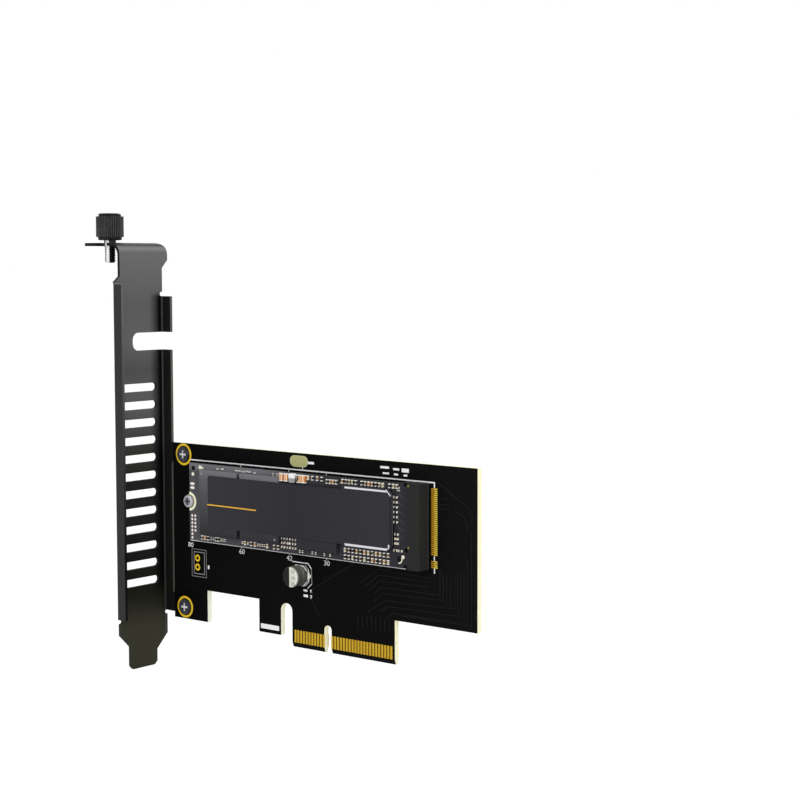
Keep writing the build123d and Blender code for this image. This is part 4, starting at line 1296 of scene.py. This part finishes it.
crescent = bmesh.new()
strip_into(crescent, arc(26.55, 28.0, 0.98, -95, 20, 10), 0.3, MODULE_FRONT, DOT_RISE)
finish_piece(crescent, "module_crescent", cream, "module_board")
arrow = bmesh.new()
strip_into(arrow, ARROW[:2], 0.9, MODULE_FRONT, DOT_RISE)
strip_into(arrow, ARROW[1:], 0.4, MODULE_FRONT, DOT_RISE)
finish_piece(arrow, "module_arrow", cream, "module_board")

# %% [markdown]
# ### Tiny parts
#
# Between the larger soldered parts sit many that are only half a millimetre long. Each is a small
# block with two bright ends. The tree joins one block and two ends and copies them to every point.

# %% Tiny part tree
BLOCK_SHARES = (0.8, 1.0, 1.0)
END_SHARES = (0.34, 1.08, 1.08)
END_PLACE = 0.38

tiny_tree, nodes, given = start_tree("tiny_tree", ("Length", "Width", "Height", "Turn"))
add, join = nodes.add, nodes.join
tiny_tree.interface.new_socket("End Material", in_out="INPUT", socket_type="NodeSocketMaterial")
block = add("GeometryNodeMeshCube")
block.inputs["Size"].default_value = BLOCK_SHARES
body_paint = add("GeometryNodeSetMaterial")
join(block.outputs["Mesh"], body_paint.inputs["Geometry"])
join(given.outputs["Material"], body_paint.inputs["Material"])
ends = add("GeometryNodeJoinGeometry")
for side in (-END_PLACE, END_PLACE):
    cap = add("GeometryNodeMeshCube")
    cap.inputs["Size"].default_value = END_SHARES
    shift = add("GeometryNodeTransform")
    shift.inputs["Translation"].default_value = (side, 0, 0)
    join(cap.outputs["Mesh"], shift.inputs["Geometry"])
    join(shift.outputs[0], ends.inputs[0])
end_paint = add("GeometryNodeSetMaterial")
join(ends.outputs[0], end_paint.inputs["Geometry"])
join(given.outputs["End Material"], end_paint.inputs["Material"])
whole = add("GeometryNodeJoinGeometry")
join(body_paint.outputs[0], whole.inputs[0])
join(end_paint.outputs[0], whole.inputs[0])
size = add("ShaderNodeCombineXYZ")
join(given.outputs["Length"], size.inputs["X"])
join(given.outputs["Height"], size.inputs["Y"])
join(given.outputs["Width"], size.inputs["Z"])
turn = add("ShaderNodeCombineXYZ")
join(given.outputs["Turn"], turn.inputs["Y"])
copies = add("GeometryNodeInstanceOnPoints")
join(given.outputs["Geometry"], copies.inputs["Points"])
join(whole.outputs[0], copies.inputs["Instance"])
join(turn.outputs[0], copies.inputs["Rotation"])
join(size.outputs[0], copies.inputs["Scale"])
real = add("GeometryNodeRealizeInstances")
join(copies.outputs[0], real.inputs[0])
join(real.outputs[0], add("NodeGroupOutput").inputs[0])

# %% Tiny parts
TINY_SIZE = (0.62, 0.34, 0.3)
TINY_LEVEL = (
    (-36.9, 46.35), (-35.1, 46.4), (-29.8, 46.4), (-28.6, 46.4), (-27.2, 46.3), (-25.9, 46.45),
    (-24.9, 46.4), (-23.1, 46.25), (7.9, 45.95), (26.6, 46.1), (26.6, 45.4),
)
# each row of upright parts: first x, z, count and pitch
TINY_ROWS = (
    (-16.2, 46.3, 2, 1.4), (-39.5, 27.0, 2, 1.0), (-35.7, 27.0, 3, 0.75), (-27.7, 27.0, 2, 2.1),
    (-21.9, 27.0, 4, 0.8), (-6.8, 26.75, 2, 1.0), (-2.4, 26.75, 2, 1.2), (1.75, 26.75, 2, 2.0),
)

tiny_upright = [(x + pitch * i, z) for x, z, count, pitch in TINY_ROWS for i in range(count)]
length, width, height = (size * MM for size in TINY_SIZE)
tiny_face = MODULE_FRONT - TINY_SIZE[2] / 2
for name, points, turn in (
    ("tiny_parts_level", TINY_LEVEL, 0.0), ("tiny_parts_upright", tiny_upright, math.radians(90)),
):
    sizes = {"Length": length, "Width": width, "Height": height, "Turn": turn}
    paints = {"Material": small_parts.material, "End Material": solder.material}
    base = point_mesh(name + "_points", points, tiny_face)
    grow(tiny_tree, base, name, "small_part_ceramic", {**sizes, **paints})

# %% [markdown]
# ### The screw's thread
#
# The thumbscrew's shank is threaded from its neck to its tip. A cut thread could be a boolean, but a
# tube whose radius follows a screw line is lighter and always closed. The tree takes an upright
# grid of rings and moves each point in by the depth of the groove at its angle and height.

# %% Thread tree
SHANK_Z = span("thumbscrew_shank", 2)
NECK_RADIUS = (span("thumbscrew_shank", 0)[1] - span("thumbscrew_shank", 0)[0]) / 2
THREAD_RADIUS = 1.5
THREAD_DEPTH = 0.14
THREAD_PITCH = 0.7
THREAD_TOP = BRACKET_TOP - SHEET - 0.2
TIP_CUT = 0.36
THREAD_SIDES = 28
RINGS_PER_TURN = 6
TOP_MARGIN = 0.05
FOOT_MARGIN = 0.02

thread_tree, nodes, given = start_tree("thread_tree", ("Pitch", "Depth", "Top", "Foot"))
add, join = nodes.add, nodes.join
place = add("GeometryNodeInputPosition")
parts = add("ShaderNodeSeparateXYZ")
join(place.outputs[0], parts.inputs[0])
x, y, z = parts.outputs
turned = maths(nodes, "DIVIDE", maths(nodes, "ARCTAN2", y, x), math.tau)
climbed = maths(nodes, "DIVIDE", z, given.outputs["Pitch"])
phase = maths(nodes, "FRACT", maths(nodes, "ADD", turned, climbed))
zigzag = maths(nodes, "ABSOLUTE", maths(nodes, "SUBTRACT", maths(nodes, "MULTIPLY", phase, 2.0), 1.0))
groove = maths(nodes, "MULTIPLY", zigzag, given.outputs["Depth"])
below = maths(nodes, "LESS_THAN", z, given.outputs["Top"])
above = maths(nodes, "GREATER_THAN", z, given.outputs["Foot"])
cut = maths(nodes, "MULTIPLY", maths(nodes, "MULTIPLY", groove, below), above)
across = add("ShaderNodeVectorMath", operation="MULTIPLY")
across.inputs[1].default_value = (-1, -1, 0)
join(place.outputs[0], across.inputs[0])
unit = add("ShaderNodeVectorMath", operation="NORMALIZE")
join(across.outputs[0], unit.inputs[0])
move = add("ShaderNodeVectorMath", operation="SCALE")
join(unit.outputs[0], move.inputs[0])
join(cut, move.inputs["Scale"])
shift = add("GeometryNodeSetPosition")
join(given.outputs["Geometry"], shift.inputs["Geometry"])
join(move.outputs[0], shift.inputs["Offset"])
end_tree(nodes, shift.outputs[0], given)


# %% Turned body
def turned_body(name, outline, sides):
    """A closed body turned about Z from an outline of (radius, z) in mm, upwards."""
    mesh = bmesh.new()
    rings = []
    angles = [math.tau * i / sides for i in range(sides)]
    for radius, z in outline:
        circle = [(radius * math.cos(angle) * MM, radius * math.sin(angle) * MM, z * MM) for angle in angles]
        rings.append([mesh.verts.new(spot) for spot in circle])
    for low, high in zip(rings, rings[1:]):
        for i in range(sides):
            j = (i + 1) % sides
            mesh.faces.new((low[i], low[j], high[j], high[i]))
    mesh.faces.new(list(reversed(rings[0])))
    mesh.faces.new(rings[-1])
    data = bpy.data.meshes.new(name)
    mesh.to_mesh(data)
    mesh.free()
    return data


# %% Bright steel with painted reflection
# The steel's colour is a painted reflection: white, grey and dark bands by how each face turns from one
# side.
REFLECTION_SIDE = (0.777, 0.629, 0.0)
STEEL_REFLECTION_TONES = (
    (-1.0, screen(200)), (-0.93, screen(180)), (-0.86, screen(92)), (-0.7, screen(92)),
    (-0.58, screen(246)), (-0.1, screen(252)), (0.0, screen(26)), (0.84, screen(20)), (0.96, screen(150)),
)

painted_steel_reflection = bare_finish("steel_with_painted_reflection", screen(200), rough=0.3, metal=0.2, specular=0.3)
grain(painted_steel_reflection, 1500, 0.03)
side = painted_steel_reflection.add("ShaderNodeVectorMath", operation="DOT_PRODUCT")
side.inputs[1].default_value = REFLECTION_SIDE
painted_steel_reflection.join(on_piece(painted_steel_reflection, "Normal"), side.inputs[0])
reflection_share = ramp_between(painted_steel_reflection, side.outputs["Value"], -1, 1)
paint(painted_steel_reflection, gradient(painted_steel_reflection, reflection_share, [((value + 1) / 2, colour) for value, colour in STEEL_REFLECTION_TONES]))

# %% Shank
thread_foot = SHANK_Z[0] + TIP_CUT
thread_length = THREAD_TOP - thread_foot
rings = round(thread_length / THREAD_PITCH * RINGS_PER_TURN)
outline = [(THREAD_RADIUS - TIP_CUT, SHANK_Z[0])]
outline += [(THREAD_RADIUS, thread_foot + thread_length * i / rings) for i in range(rings + 1)]
outline += [(NECK_RADIUS, THREAD_TOP), (NECK_RADIUS, SHANK_Z[1])]
sizes = {
    "Pitch": THREAD_PITCH * MM, "Depth": THREAD_DEPTH * MM, "Material": painted_steel_reflection.material,
    "Top": (THREAD_TOP - TOP_MARGIN) * MM, "Foot": (thread_foot - FOOT_MARGIN) * MM,
}
body = turned_body("shank_body", outline, THREAD_SIDES)
shank = grow(thread_tree, body, "threaded_shank", "screw_steel", sizes)
shank.data.transform(Matrix.Translation((KNOB_MIDDLE[0] * MM, KNOB_MIDDLE[1] * MM, 0)))
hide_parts("thumbscrew_shank")
print("thread from", round(SHANK_Z[0], 2), "to", round(THREAD_TOP, 2), "mm, in", rings, "rings")
